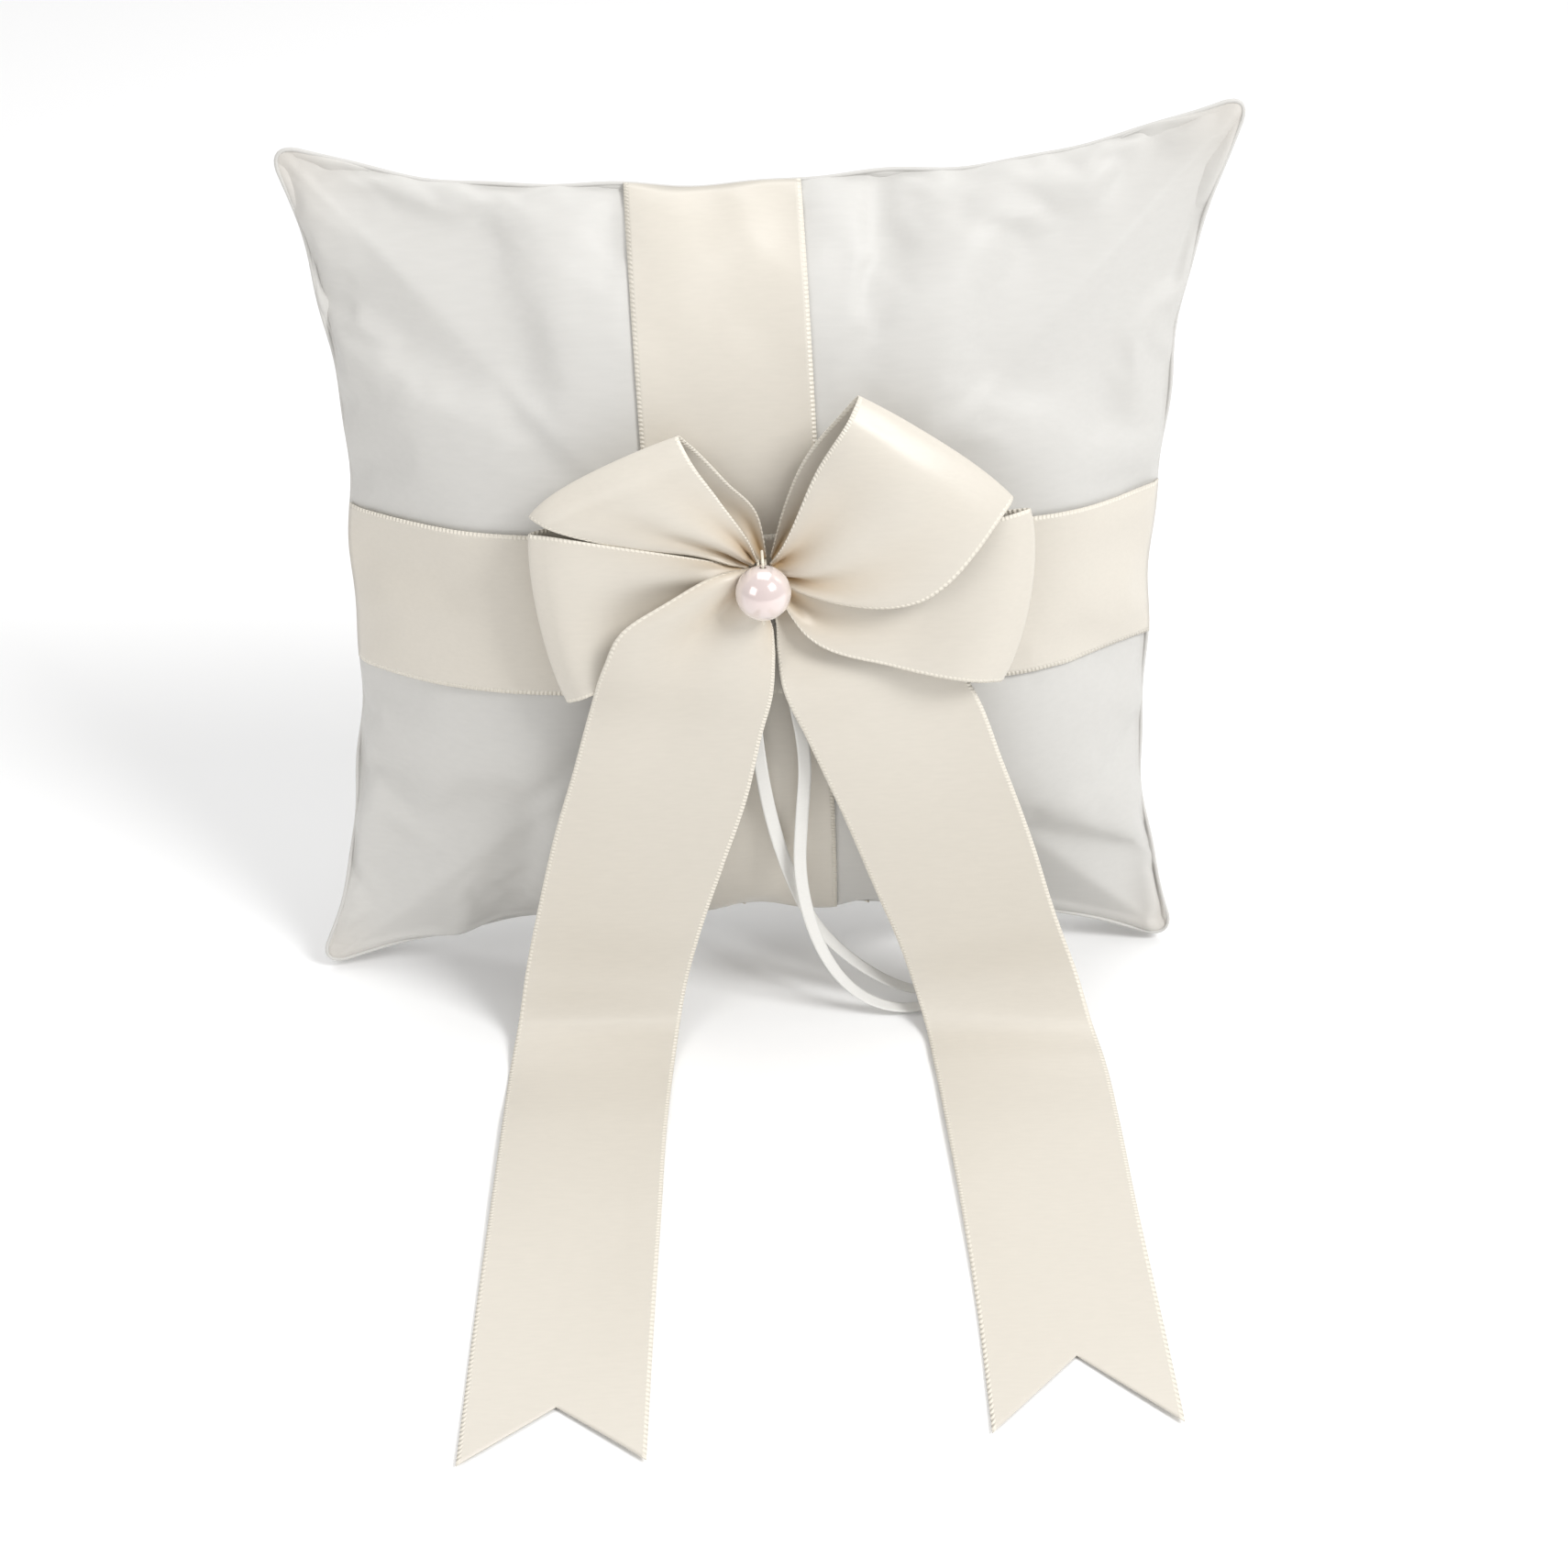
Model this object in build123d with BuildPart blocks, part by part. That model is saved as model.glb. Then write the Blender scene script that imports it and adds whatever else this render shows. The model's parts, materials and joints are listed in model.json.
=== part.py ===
"""Ring bearer pillow: a stuffed satin cushion that stands on its two lower ears, with two ribbon
bands crossing its front, a gathered four-loop bow under a drilled pearl, two long ribbon tails
that run down to the table and forward along it, and two narrow ribbons that the rings are tied on.

Millimetres, +Z up, the front towards -Y. The origin lies on the table, midway between the two
lower ears of the cushion.
"""

import os
from math import atan2, cos, degrees, pi, radians, sin, tan

from build123d import *

os.makedirs("parts", exist_ok=True)

# ---------------------------------------------------------------- driving dimensions
# Cushion
CUSHION_WIDTH = 207.0  # ear tip to ear tip
CUSHION_HEIGHT = 204.0  # ear tip to ear tip, up the seam plane
CUSHION_THICKNESS = 54.0  # crown to crown
EDGE_PULL = 13.0  # how far the filling draws each edge in between its ears
LEAN = 6.5  # degrees that the cushion leans back
SLUMP = 7.0  # how far the top edge has slumped to the right
EAR_STRETCH = 5.5  # extra height of the upper right ear
EAR_PRESS = 1.0  # how much of each lower ear the table flattens
EAR_FOLD = 12.0  # how far the lower ears fold back along the table
EAR_FOLD_INSET = 9.0  # how far inward the folded ears end

# Cloth and thread
PANEL = 0.5  # satin of the cover
SEAM_GAP = 0.8  # room between the two panels where they are stitched
SEAM_RIM = 3.0  # seam allowance, outline to stitch line
SEAM_THREAD_INSET = 1.6  # outline to the outside of the seam thread
THREAD = 0.6  # diameter of every sewing thread
NEEDLE_HOLE = 1.0  # diameter
CLOTH_CLEARANCE = 0.3  # between neighbouring layers of cloth
CLOSING_LENGTH = 80.0  # stuffing gap in the bottom seam
CLOSING_PITCH = 6.0  # of its hand stitches
CLOSING_STITCH = 3.0  # length of each one

# Wide ribbon: bands, bow and tails
RIBBON = 0.6  # thickness
RIBBON_WIDTH = 38.0
CROSS_BAND_HEIGHT = 104.5  # up the seam plane, middle of the horizontal band
UPRIGHT_BAND_FOOT = 3.0  # x of the vertical band's middle at the bottom seam
UPRIGHT_BAND_HEAD = -4.0  # and at the top seam

# Bow
BOW_X = 4.4
BOW_HEIGHT = 116.5  # up the seam plane
LOOP_NECK = 3.2  # width of each loop where it is gathered
LOOP_START = 5.0  # bow centre to the gathered end of a loop
LOOP_OPENING = 12.6  # front to back, at a loop's rounded end
LOOP_END_TUCK = 3.0  # a loop's open end is this much narrower than the ribbon
NECK_LAYERS = 2.4  # front to back, where a loop is gathered
NECK_DEPTH = 3.5  # bow back to the middle of the gathered layers
PEARL_DIAMETER = 12.0
PEARL_BORE = 1.4
PEARL_STAND = 7.2  # bow back to the back of the pearl
GATHER_RADIUS = 3.1  # of the thread wound round the bow's middle
GATHER_SPACING = 1.6  # between its two turns
ANCHOR_SPREAD = 3.2  # between the two legs of the anchoring stitch
TACK_DROP = 9.0  # bow centre down to the bar that holds the narrow ribbons
TACK_SPAN = 8.4

# Narrow ribbon for the rings
RING_RIBBON = 3.0  # width, and the diameter of its simple round stand-in
RING_RIBBON_DROP = 7.0  # bow centre down to its sewn end
RING_RIBBON_SPACING = 4.0

# Each loop: direction in degrees from +X, and length from the bow centre to its folded end
LOOPS = {
    "bow_upper_left_loop": (140.0, 41.0),
    "bow_upper_right_loop": (40.5, 47.2),
    "bow_lower_left_loop": (188.5, 46.0),
    "bow_lower_right_loop": (-3.5, 53.8),
}

# Each tail: stations down its middle as (x, y, z, width, tilt). Tilt is 0 where the ribbon hangs
# facing the front and 90 where it lies on the table. Then the depth of its swallow-tail notch.
TAILS = {
    "left_tail": (
        (
            (0.5, -25.0, 109.5, 5.0, 0.0),
            (-6.0, -27.4, 104.0, 20.0, 0.0),
            (-11.0, -29.2, 97.5, 29.0, 0.0),
            (-14.6, -28.8, 90.0, RIBBON_WIDTH, 0.0),
            (-20.5, -26.8, 65.0, RIBBON_WIDTH, 0.0),
            (-27.8, -25.2, 37.0, RIBBON_WIDTH, 0.0),
            (-33.6, -25.4, 14.0, RIBBON_WIDTH, 8.0),
            (-35.9, -29.0, 4.2, RIBBON_WIDTH, 45.0),
            (-37.6, -37.5, 0.5, RIBBON_WIDTH, 88.0),
            (-39.2, -56.0, 0.4, RIBBON_WIDTH, 90.0),
            (-40.8, -86.0, 0.4, RIBBON_WIDTH, 90.0),
            (-44.3, -163.5, 0.4, RIBBON_WIDTH, 90.0),
        ),
        15.0,
    ),
    "right_tail": (
        (
            (8.6, -25.0, 109.5, 4.0, 0.0),
            (15.5, -26.5, 104.0, 16.0, 0.0),
            (22.5, -27.3, 98.0, 29.0, 0.0),
            (29.6, -27.5, 90.0, RIBBON_WIDTH, 0.0),
            (38.8, -27.0, 64.0, RIBBON_WIDTH, 0.0),
            (48.2, -25.6, 36.0, RIBBON_WIDTH, 0.0),
            (55.2, -25.6, 14.0, RIBBON_WIDTH, 8.0),
            (58.4, -29.0, 4.2, RIBBON_WIDTH, 45.0),
            (60.6, -37.5, 0.5, RIBBON_WIDTH, 88.0),
            (62.0, -56.0, 0.4, RIBBON_WIDTH, 90.0),
            (62.7, -88.0, 0.4, RIBBON_WIDTH, 90.0),
            (63.2, -159.5, 0.4, RIBBON_WIDTH, 90.0),
        ),
        20.0,
    ),
}

# Routes of the two narrow ribbons after their sewn ends: down in front of the vertical band, past
# the bottom edge and out along the table. The two cross where they turn.
RING_ROUTES = {
    "ring_ribbon_left": (
        (1.6, -22.6, 91.0),
        (2.9, -22.4, 72.0),
        (5.6, -21.0, 54.0),
        (9.6, -19.8, 38.0),
        (14.4, -18.9, 24.5),
        (21.4, -18.6, 14.6),
        (29.6, -19.4, 7.6),
        (38.4, -20.0, 3.0),
        (47.6, -18.2, 1.6),
        (56.0, -18.6, 1.5),
    ),
    "ring_ribbon_right": (
        (10.6, -22.8, 91.0),
        (13.6, -22.6, 73.0),
        (12.4, -22.0, 56.0),
        (11.6, -22.2, 41.0),
        (14.0, -23.2, 26.5),
        (19.0, -23.9, 13.5),
        (26.0, -24.4, 5.0),
        (34.5, -25.2, 1.6),
        (43.5, -23.6, 1.5),
        (52.0, -24.2, 1.5),
    ),
}

# ---------------------------------------------------------------- worked out from them
BAND_LIFT = CLOTH_CLEARANCE  # panel to the back of the vertical band
CROSS_BAND_LIFT = BAND_LIFT + RIBBON + CLOTH_CLEARANCE  # panel to the horizontal band
BOW_BACK = CUSHION_THICKNESS / 2 + CROSS_BAND_LIFT + RIBBON + CLOTH_CLEARANCE

# Loft levels of half a cushion, as shares of the half thickness, of the half width at the middle
# of an edge, and of the half width at an ear
LEVELS = (
    (0.35, 0.878, 0.768),
    (0.65, 0.690, 0.565),
    (0.88, 0.414, 0.314),
    (1.00, 0.160, 0.121),
)
SHOULDER = 0.67  # where an edge turns out towards its ears, as a share of half its length

seam_plane = Plane(
    origin=(0, 0, -EAR_PRESS),
    x_dir=(1, 0, 0),
    z_dir=(0, -cos(radians(LEAN)), sin(radians(LEAN))),
)


def on_seam_plane(x, height, depth):
    """The point at x, up the seam plane by height and in front of it by depth."""
    return seam_plane.from_local_coords(Vector(x, height, depth))


def edge_points(start, middle, end):
    """Points of an edge that runs from ear to ear through its middle, flatter there than near them."""
    bow = middle - (start + end) / 2
    points = [start]
    for along in (-SHOULDER, 0.0, SHOULDER):
        chord = start + (end - start) * ((1 + along) / 2)
        points.append(chord + bow * (1 - abs(along) ** 3))
    return points + [end]


def cushion_outline(depth, mid_share, ear_share, inset, ear_fold_rim=None):
    """The cushion's outline in a plane parallel to the seam, drawn in by inset all round.

    Where ear_fold_rim is given, the lower ears reach the table here, drawn in by that much more.
    """
    half_w = CUSHION_WIDTH / 2 - inset
    half_h = CUSHION_HEIGHT / 2 - inset
    centre = CUSHION_HEIGHT / 2

    def place(x, height):
        return Vector(x + SLUMP * height / CUSHION_HEIGHT, height)

    ears = {}
    for side in (-1, 1):
        for end in (-1, 1):
            height = centre + end * half_h * ear_share
            if side > 0 and end > 0:
                height += EAR_STRETCH * ear_share**4
            ears[side, end] = place(side * half_w * ear_share, height)
        if ear_fold_rim is not None:
            table = -depth * tan(radians(LEAN))
            fold = inset + ear_fold_rim
            ears[side, -1] = place(side * (CUSHION_WIDTH / 2 - EAR_FOLD_INSET - fold), fold + table)
    mid_w = (half_w - EDGE_PULL) * mid_share
    mid_h = (half_h - EDGE_PULL) * mid_share
    slope = EAR_STRETCH * ear_share**4 / 2
    runs = (
        (ears[-1, -1], place(0, centre - mid_h), ears[1, -1]),
        (ears[1, -1], place(mid_w, centre), ears[1, 1]),
        (ears[1, 1], place(0, centre + mid_h + slope), ears[-1, 1]),
        (ears[-1, 1], place(-mid_w, centre), ears[-1, -1]),
    )
    with BuildSketch(seam_plane.offset(depth)) as outline:
        with BuildLine():
            for run in runs:
                Spline(*edge_points(*run))
        make_face()
    return outline.sketch


def cushion_half(side, inset, start, rim=0.0):
    """Loft sections of half a cushion, from the seam out to its crown.

    Side is 1 for the front half and -1 for the back half, whose lower ears fold along the table.
    """
    sections = [cushion_outline(side * start, 1.0, 1.0, inset + rim)]
    crown = CUSHION_THICKNESS / 2 - inset
    for level, (depth_share, mid_share, ear_share) in enumerate(LEVELS):
        folds = side < 0 and level == 0
        depth = EAR_FOLD - inset if folds else crown * depth_share
        ear_fold_rim = rim if folds else None
        sections.append(cushion_outline(side * depth, mid_share, ear_share, inset, ear_fold_rim))
    return sections


def turned(plane, angle):
    """The plane with its x axis turned by angle degrees about its own z axis."""
    x_dir = plane.x_dir * cos(radians(angle)) + plane.y_dir * sin(radians(angle))
    return Plane(plane.origin, x_dir=x_dir, z_dir=plane.z_dir)


def save(builder, name):
    """Label a finished piece and write it out."""
    builder.part.label = name
    export_step(builder.part, f"parts/{name}.step")


# ---------------------------------------------------------------- cushion
needle_points = [
    on_seam_plane(BOW_X, BOW_HEIGHT + end * ANCHOR_SPREAD / 2, 0) for end in (-1, 1)
]
with BuildPart() as needle_holes:
    for point in needle_points:
        with BuildSketch(Plane(point, z_dir=seam_plane.z_dir)):
            Circle(NEEDLE_HOLE / 2)
        extrude(amount=CUSHION_THICKNESS)

with BuildPart() as tack_holes:
    for side in (-1, 1):
        point = on_seam_plane(BOW_X + side * TACK_SPAN / 2, BOW_HEIGHT - TACK_DROP, 0)
        with BuildSketch(Plane(point, z_dir=seam_plane.z_dir)):
            Circle(NEEDLE_HOLE / 2)
        extrude(amount=CUSHION_THICKNESS)

with BuildPart() as front_hollow:
    loft(sections=cushion_half(1, PANEL, 0.0, rim=SEAM_RIM))
    split(bisect_by=Plane.XY.offset(PANEL), keep=Keep.TOP)

with BuildPart() as back_hollow:
    loft(sections=cushion_half(-1, PANEL, 0.0, rim=SEAM_RIM))
    split(bisect_by=Plane.XY.offset(PANEL), keep=Keep.TOP)

with BuildPart() as front_panel:
    loft(sections=cushion_half(1, 0.0, SEAM_GAP / 2))
    split(bisect_by=Plane.XY, keep=Keep.TOP)
    add(front_hollow.part, mode=Mode.SUBTRACT)
    add(needle_holes.part, mode=Mode.SUBTRACT)
save(front_panel, "front_panel")

with BuildPart() as back_panel:
    loft(sections=cushion_half(-1, 0.0, SEAM_GAP / 2))
    split(bisect_by=Plane.XY, keep=Keep.TOP)
    add(back_hollow.part, mode=Mode.SUBTRACT)
save(back_panel, "back_panel")

with BuildPart() as fibre_fill:
    fill_inset = PANEL + CLOTH_CLEARANCE
    for half in (1, -1):
        loft(sections=cushion_half(half, fill_inset, 0.0, rim=SEAM_RIM))
    split(bisect_by=Plane.XY.offset(fill_inset), keep=Keep.TOP)
save(fibre_fill, "fibre_fill")

with BuildPart() as seam_ring:
    for edge, how in ((0.0, Mode.ADD), (THREAD, Mode.SUBTRACT)):
        ring_edge = cushion_outline(0.0, 1.0, 1.0, SEAM_THREAD_INSET + edge)
        extrude(ring_edge, amount=THREAD / 2, dir=seam_plane.z_dir, both=True, mode=how)

with BuildPart() as closing_gap:
    with Locations((BOW_X, 0, 0)):
        Box(CLOSING_LENGTH, CUSHION_THICKNESS, CUSHION_HEIGHT / 2)

with BuildPart() as closing_places:
    with Locations((BOW_X, 0, 0)):
        with GridLocations(CLOSING_PITCH, 0, int(CLOSING_LENGTH / CLOSING_PITCH), 1):
            Box(CLOSING_STITCH, CUSHION_THICKNESS, CUSHION_HEIGHT / 2)

with BuildPart() as perimeter_seam_thread:
    add(seam_ring.part)
    add(closing_gap.part, mode=Mode.SUBTRACT)
save(perimeter_seam_thread, "perimeter_seam_thread")

with BuildPart() as closing_stitches:
    add(seam_ring.part)
    add(closing_places.part, mode=Mode.INTERSECT)
save(closing_stitches, "closing_stitches")

# ---------------------------------------------------------------- bands across the front
# Each band is the strip of a shell over the front panel that its outline keeps
BAND_REACH = 1.2  # the outline of a band runs past the cushion by this share of its half size
BANDS = {
    "vertical_band": (
        BAND_LIFT,
        (UPRIGHT_BAND_FOOT, 0.0),
        (UPRIGHT_BAND_HEAD, CUSHION_HEIGHT),
        (needle_holes,),
    ),
    "horizontal_band": (
        CROSS_BAND_LIFT,
        (-CUSHION_WIDTH / 2, CROSS_BAND_HEIGHT),
        (CUSHION_WIDTH / 2, CROSS_BAND_HEIGHT),
        (needle_holes, tack_holes),
    ),
}
for name, (lift, start, end, holes) in BANDS.items():
    start, end = Vector(*start), Vector(*end)
    middle, run = (start + end) / 2, end - start
    level = Plane(
        on_seam_plane(middle.X, middle.Y, 0), x_dir=seam_plane.x_dir, z_dir=seam_plane.z_dir
    )
    strip_plane = turned(level, degrees(atan2(run.Y, run.X)))
    with BuildPart() as band:
        loft(sections=cushion_half(1, -lift - RIBBON, SEAM_GAP / 2))
        loft(sections=cushion_half(1, -lift, SEAM_GAP / 2), mode=Mode.SUBTRACT)
        with BuildSketch(strip_plane):
            Rectangle(run.length * BAND_REACH, RIBBON_WIDTH)
        extrude(amount=CUSHION_THICKNESS, mode=Mode.INTERSECT)
        for hole in holes:
            add(hole.part, mode=Mode.SUBTRACT)
    save(band, name)

# ---------------------------------------------------------------- bow
bow_plane = Plane(
    origin=on_seam_plane(BOW_X, BOW_HEIGHT, BOW_BACK),
    x_dir=seam_plane.x_dir,
    z_dir=seam_plane.z_dir,
)
for name, (angle, length) in LOOPS.items():
    loop_plane = turned(bow_plane, angle)
    profile_plane = Plane(loop_plane.origin, x_dir=loop_plane.x_dir, z_dir=-loop_plane.y_dir)
    neck, round_end = NECK_LAYERS / 2, LOOP_OPENING / 2
    with BuildPart() as loop:
        with BuildSketch(profile_plane):
            with Locations((LOOP_START + neck, NECK_DEPTH)):
                Circle(neck)
            with Locations((length - round_end, round_end)):
                Circle(round_end)
            make_hull()
            offset(amount=-RIBBON, mode=Mode.SUBTRACT)
        extrude(amount=RIBBON_WIDTH / 2, both=True)
        with BuildSketch(loop_plane):
            with BuildLine():
                half_neck, half_end = LOOP_NECK / 2, (RIBBON_WIDTH - LOOP_END_TUCK) / 2
                Polyline(
                    (LOOP_START, -half_neck),
                    (length, -half_end),
                    (length, half_end),
                    (LOOP_START, half_neck),
                    close=True,
                )
            make_face()
        extrude(amount=LOOP_OPENING, mode=Mode.INTERSECT)
    save(loop, name)

with BuildPart() as bow_gather_thread:
    for turn in (-1, 1):
        centre = bow_plane.from_local_coords(Vector(turn * GATHER_SPACING / 2, 0, NECK_DEPTH))
        with BuildSketch(Plane(centre, x_dir=bow_plane.z_dir, z_dir=bow_plane.y_dir)):
            with Locations((GATHER_RADIUS, 0)):
                Circle(THREAD / 2)
        revolve(axis=Axis(centre, bow_plane.x_dir))
save(bow_gather_thread, "bow_gather_thread")

pearl_depth = PEARL_STAND + PEARL_DIAMETER / 2
pearl_centre = bow_plane.from_local_coords(Vector(0, 0, pearl_depth))
with BuildPart() as pearl:
    with Locations(Plane(pearl_centre, x_dir=bow_plane.x_dir, z_dir=bow_plane.y_dir)):
        Sphere(PEARL_DIAMETER / 2)
        Cylinder(PEARL_BORE / 2, PEARL_DIAMETER, mode=Mode.SUBTRACT)
save(pearl, "pearl")

# Each stitch goes in at its first point and comes back out at its last, in the bow's own plane
anchor_back = CUSHION_THICKNESS / 2 - PANEL - BOW_BACK
anchor_front = NECK_DEPTH + THREAD
pearl_reach = PEARL_DIAMETER / 2 + PEARL_BORE
pearl_back = PEARL_STAND + PEARL_BORE / 2
tack_back = -1.5 * CLOTH_CLEARANCE - RIBBON
tack_front = RING_RIBBON + 4 * CLOTH_CLEARANCE
STITCHES = {
    "bow_anchor_stitches": (
        (0, -ANCHOR_SPREAD / 2, anchor_back),
        (0, -ANCHOR_SPREAD / 2, anchor_front),
        (0, ANCHOR_SPREAD / 2, anchor_front),
        (0, ANCHOR_SPREAD / 2, anchor_back),
    ),
    "pearl_thread": (
        (0, -pearl_reach, pearl_back),
        (0, -pearl_reach, pearl_depth),
        (0, pearl_reach, pearl_depth),
        (0, pearl_reach, pearl_back),
    ),
    "ring_ribbon_tack": (
        (-TACK_SPAN / 2, -TACK_DROP, tack_back),
        (-TACK_SPAN / 2, -TACK_DROP, tack_front),
        (TACK_SPAN / 2, -TACK_DROP, tack_front),
        (TACK_SPAN / 2, -TACK_DROP, tack_back),
    ),
}
for name, points in STITCHES.items():
    with BuildPart() as stitch:
        with BuildLine() as route:
            FilletPolyline(
                *[bow_plane.from_local_coords(Vector(*point)) for point in points],
                radius=THREAD,
            )
        with BuildSketch(Plane(route.line @ 0, z_dir=route.line % 0)):
            Circle(THREAD / 2)
        sweep(path=route.line)
    save(stitch, name)

# ---------------------------------------------------------------- tails
for name, (stations, notch_depth) in TAILS.items():
    points = [Vector(*station[:3]) for station in stations]
    sections = []
    for number, (*_, width, tilt) in enumerate(stations):
        before, after = max(number - 1, 0), min(number + 1, len(points) - 1)
        along = (points[after] - points[before]).normalized()
        face = Vector(0, -cos(radians(tilt)), sin(radians(tilt)))
        across = face.cross(along)
        with BuildSketch(Plane(points[number], x_dir=across, z_dir=along)) as section:
            Rectangle(width, RIBBON)
        sections.append(section.sketch)
    tip = points[-1]
    with BuildPart() as ribbon_tail:
        loft(sections=sections, ruled=True)
        with BuildSketch(Plane.XY):
            with BuildLine():
                Polyline(
                    (tip.X, tip.Y + notch_depth),
                    (tip.X - RIBBON_WIDTH, tip.Y - notch_depth),
                    (tip.X + RIBBON_WIDTH, tip.Y - notch_depth),
                    close=True,
                )
            make_face()
        extrude(amount=RIBBON_WIDTH, both=True, mode=Mode.SUBTRACT)
    save(ribbon_tail, name)

# ---------------------------------------------------------------- narrow ribbons for the rings
for side, (name, route) in zip((-1, 1), RING_ROUTES.items()):
    sewn_end = bow_plane.from_local_coords(
        Vector(side * RING_RIBBON_SPACING / 2, -RING_RIBBON_DROP, RING_RIBBON / 2)
    )
    points = [sewn_end] + [Vector(*point) for point in route]
    runs = [after - before for before, after in zip(points, points[1:])]
    radii = [
        0.45 * min(first.length, second.length) / tan(radians(first.get_angle(second)) / 2)
        for first, second in zip(runs, runs[1:])
    ]
    with BuildPart() as ribbon:
        with BuildLine() as path:
            FilletPolyline(*points, radius=radii)
        with BuildSketch(Plane(path.line @ 0, z_dir=path.line % 0)):
            Circle(RING_RIBBON / 2)
        sweep(path=path.line)
    length = sum(edge.length for edge in path.edges())
    share = ribbon.part.volume / (length * pi * RING_RIBBON**2 / 4)
    print(name, "length", round(length, 1), "radii", [round(radius, 1) for radius in radii])
    print(name, "volume as a share of section by length", round(share, 4))
    save(ribbon, name)
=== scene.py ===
import json
import logging
import math
from dataclasses import dataclass, field
from enum import Enum
from typing import Callable, Optional, Sequence

import bpy
import numpy as np
from mathutils import Matrix, Vector
from mathutils.bvhtree import BVHTree

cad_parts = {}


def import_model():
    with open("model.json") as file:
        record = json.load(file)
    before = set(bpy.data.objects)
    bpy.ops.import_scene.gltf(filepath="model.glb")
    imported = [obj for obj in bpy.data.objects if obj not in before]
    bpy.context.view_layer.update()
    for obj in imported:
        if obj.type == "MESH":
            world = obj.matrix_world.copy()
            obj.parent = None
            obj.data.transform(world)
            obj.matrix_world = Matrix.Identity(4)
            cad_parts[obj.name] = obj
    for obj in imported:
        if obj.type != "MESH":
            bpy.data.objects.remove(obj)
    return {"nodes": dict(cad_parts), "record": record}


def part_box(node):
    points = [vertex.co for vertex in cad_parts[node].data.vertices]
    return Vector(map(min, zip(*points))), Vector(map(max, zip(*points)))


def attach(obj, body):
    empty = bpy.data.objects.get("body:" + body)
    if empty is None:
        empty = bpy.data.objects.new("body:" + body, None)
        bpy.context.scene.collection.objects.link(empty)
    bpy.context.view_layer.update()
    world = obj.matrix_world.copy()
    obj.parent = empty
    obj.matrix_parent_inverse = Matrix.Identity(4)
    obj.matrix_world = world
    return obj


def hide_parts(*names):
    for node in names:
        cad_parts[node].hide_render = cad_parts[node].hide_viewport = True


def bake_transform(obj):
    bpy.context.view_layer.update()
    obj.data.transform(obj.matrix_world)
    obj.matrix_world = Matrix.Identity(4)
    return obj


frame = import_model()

LOG = logging.getLogger("ring_pillow")

MM = 0.001
LEAN = math.radians(6.5)  # how far the cushion leans back
EAR_PRESS = 1.0 * MM  # how far the table flattens its lower ears
EDGE_PULL = 14.5 * MM  # how far the filling draws each edge in between its ears
EAR_REACH = 2.2 * MM  # how far each ear's cloth stands proud of the panel's rim
EAR_ROUNDING = 0.075  # radius of each ear's tip, as a share of half the cushion
RIBBON_WIDTH = 38.0 * MM
RIBBON_THICKNESS = 0.35 * MM
NARROW_WIDTH = 3.0 * MM
RAY_START = 80 * MM  # depth in front of or behind the seam that probing rays start from
PEARL_MIDDLE = 13.2 * MM  # the bow's back to the middle of the pearl
ROOT = "pillow"

Point = Sequence[float]


class Slot(Enum):
    """Material slots of the record."""

    COVER = "satin_cover"
    RIBBON = "satin_ribbon"
    NARROW = "narrow_ribbon"
    THREAD = "sewing_thread"
    PEARL = "faux_pearl"


# --------------------------------------------------------------------------- places
class SeamPlane:
    """The leaning plane of the cushion's seam, with its x, height and depth axes."""

    origin = np.array([0.0, 0.0, -EAR_PRESS])
    across = np.array([1.0, 0.0, 0.0])
    up = np.array([0.0, math.sin(LEAN), math.cos(LEAN)])
    out = np.array([0.0, -math.cos(LEAN), math.sin(LEAN)])

    @classmethod
    def to_world(cls, local: np.ndarray) -> np.ndarray:
        """Turn (x, height, depth) into points of the row frame.

        Args:
            local: Array whose last axis is x, height and depth, in metres.

        Returns:
            Points of the same shape.
        """
        basis = np.stack([cls.across, cls.up, cls.out])
        return cls.origin + np.asarray(local, float) @ basis

    @classmethod
    def to_local(cls, points: np.ndarray) -> np.ndarray:
        """Turn points of the row frame into (x, height, depth).

        Args:
            points: Array whose last axis is x, y and z, in metres.

        Returns:
            Local coordinates of the same shape.
        """
        basis = np.stack([cls.across, cls.up, cls.out])
        return (np.asarray(points, float) - cls.origin) @ basis.T


class BowPlace:
    """Places given from the middle of the bow's back, in millimetres."""

    def __init__(self) -> None:
        """Find the bow's middle from the pearl in the frame."""
        low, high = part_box("pearl")
        middle = (np.array(low) + np.array(high)) / 2
        x, height, depth = SeamPlane.to_local(middle)
        self.middle = np.array([x, height, depth - PEARL_MIDDLE])

    def at(self, points: Sequence[Point]) -> np.ndarray:
        """Turn (across, up, out) in millimetres from the bow's middle into the row frame.

        Args:
            points: Triples in millimetres.

        Returns:
            Points of the row frame, in metres.
        """
        return SeamPlane.to_world(self.middle + np.asarray(points, float) * MM)


def world(points: Sequence[Point]) -> np.ndarray:
    """Points given in millimetres of the row frame, in metres.

    Args:
        points: Triples in millimetres.

    Returns:
        The same points in metres.
    """
    return np.asarray(points, float) * MM


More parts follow.
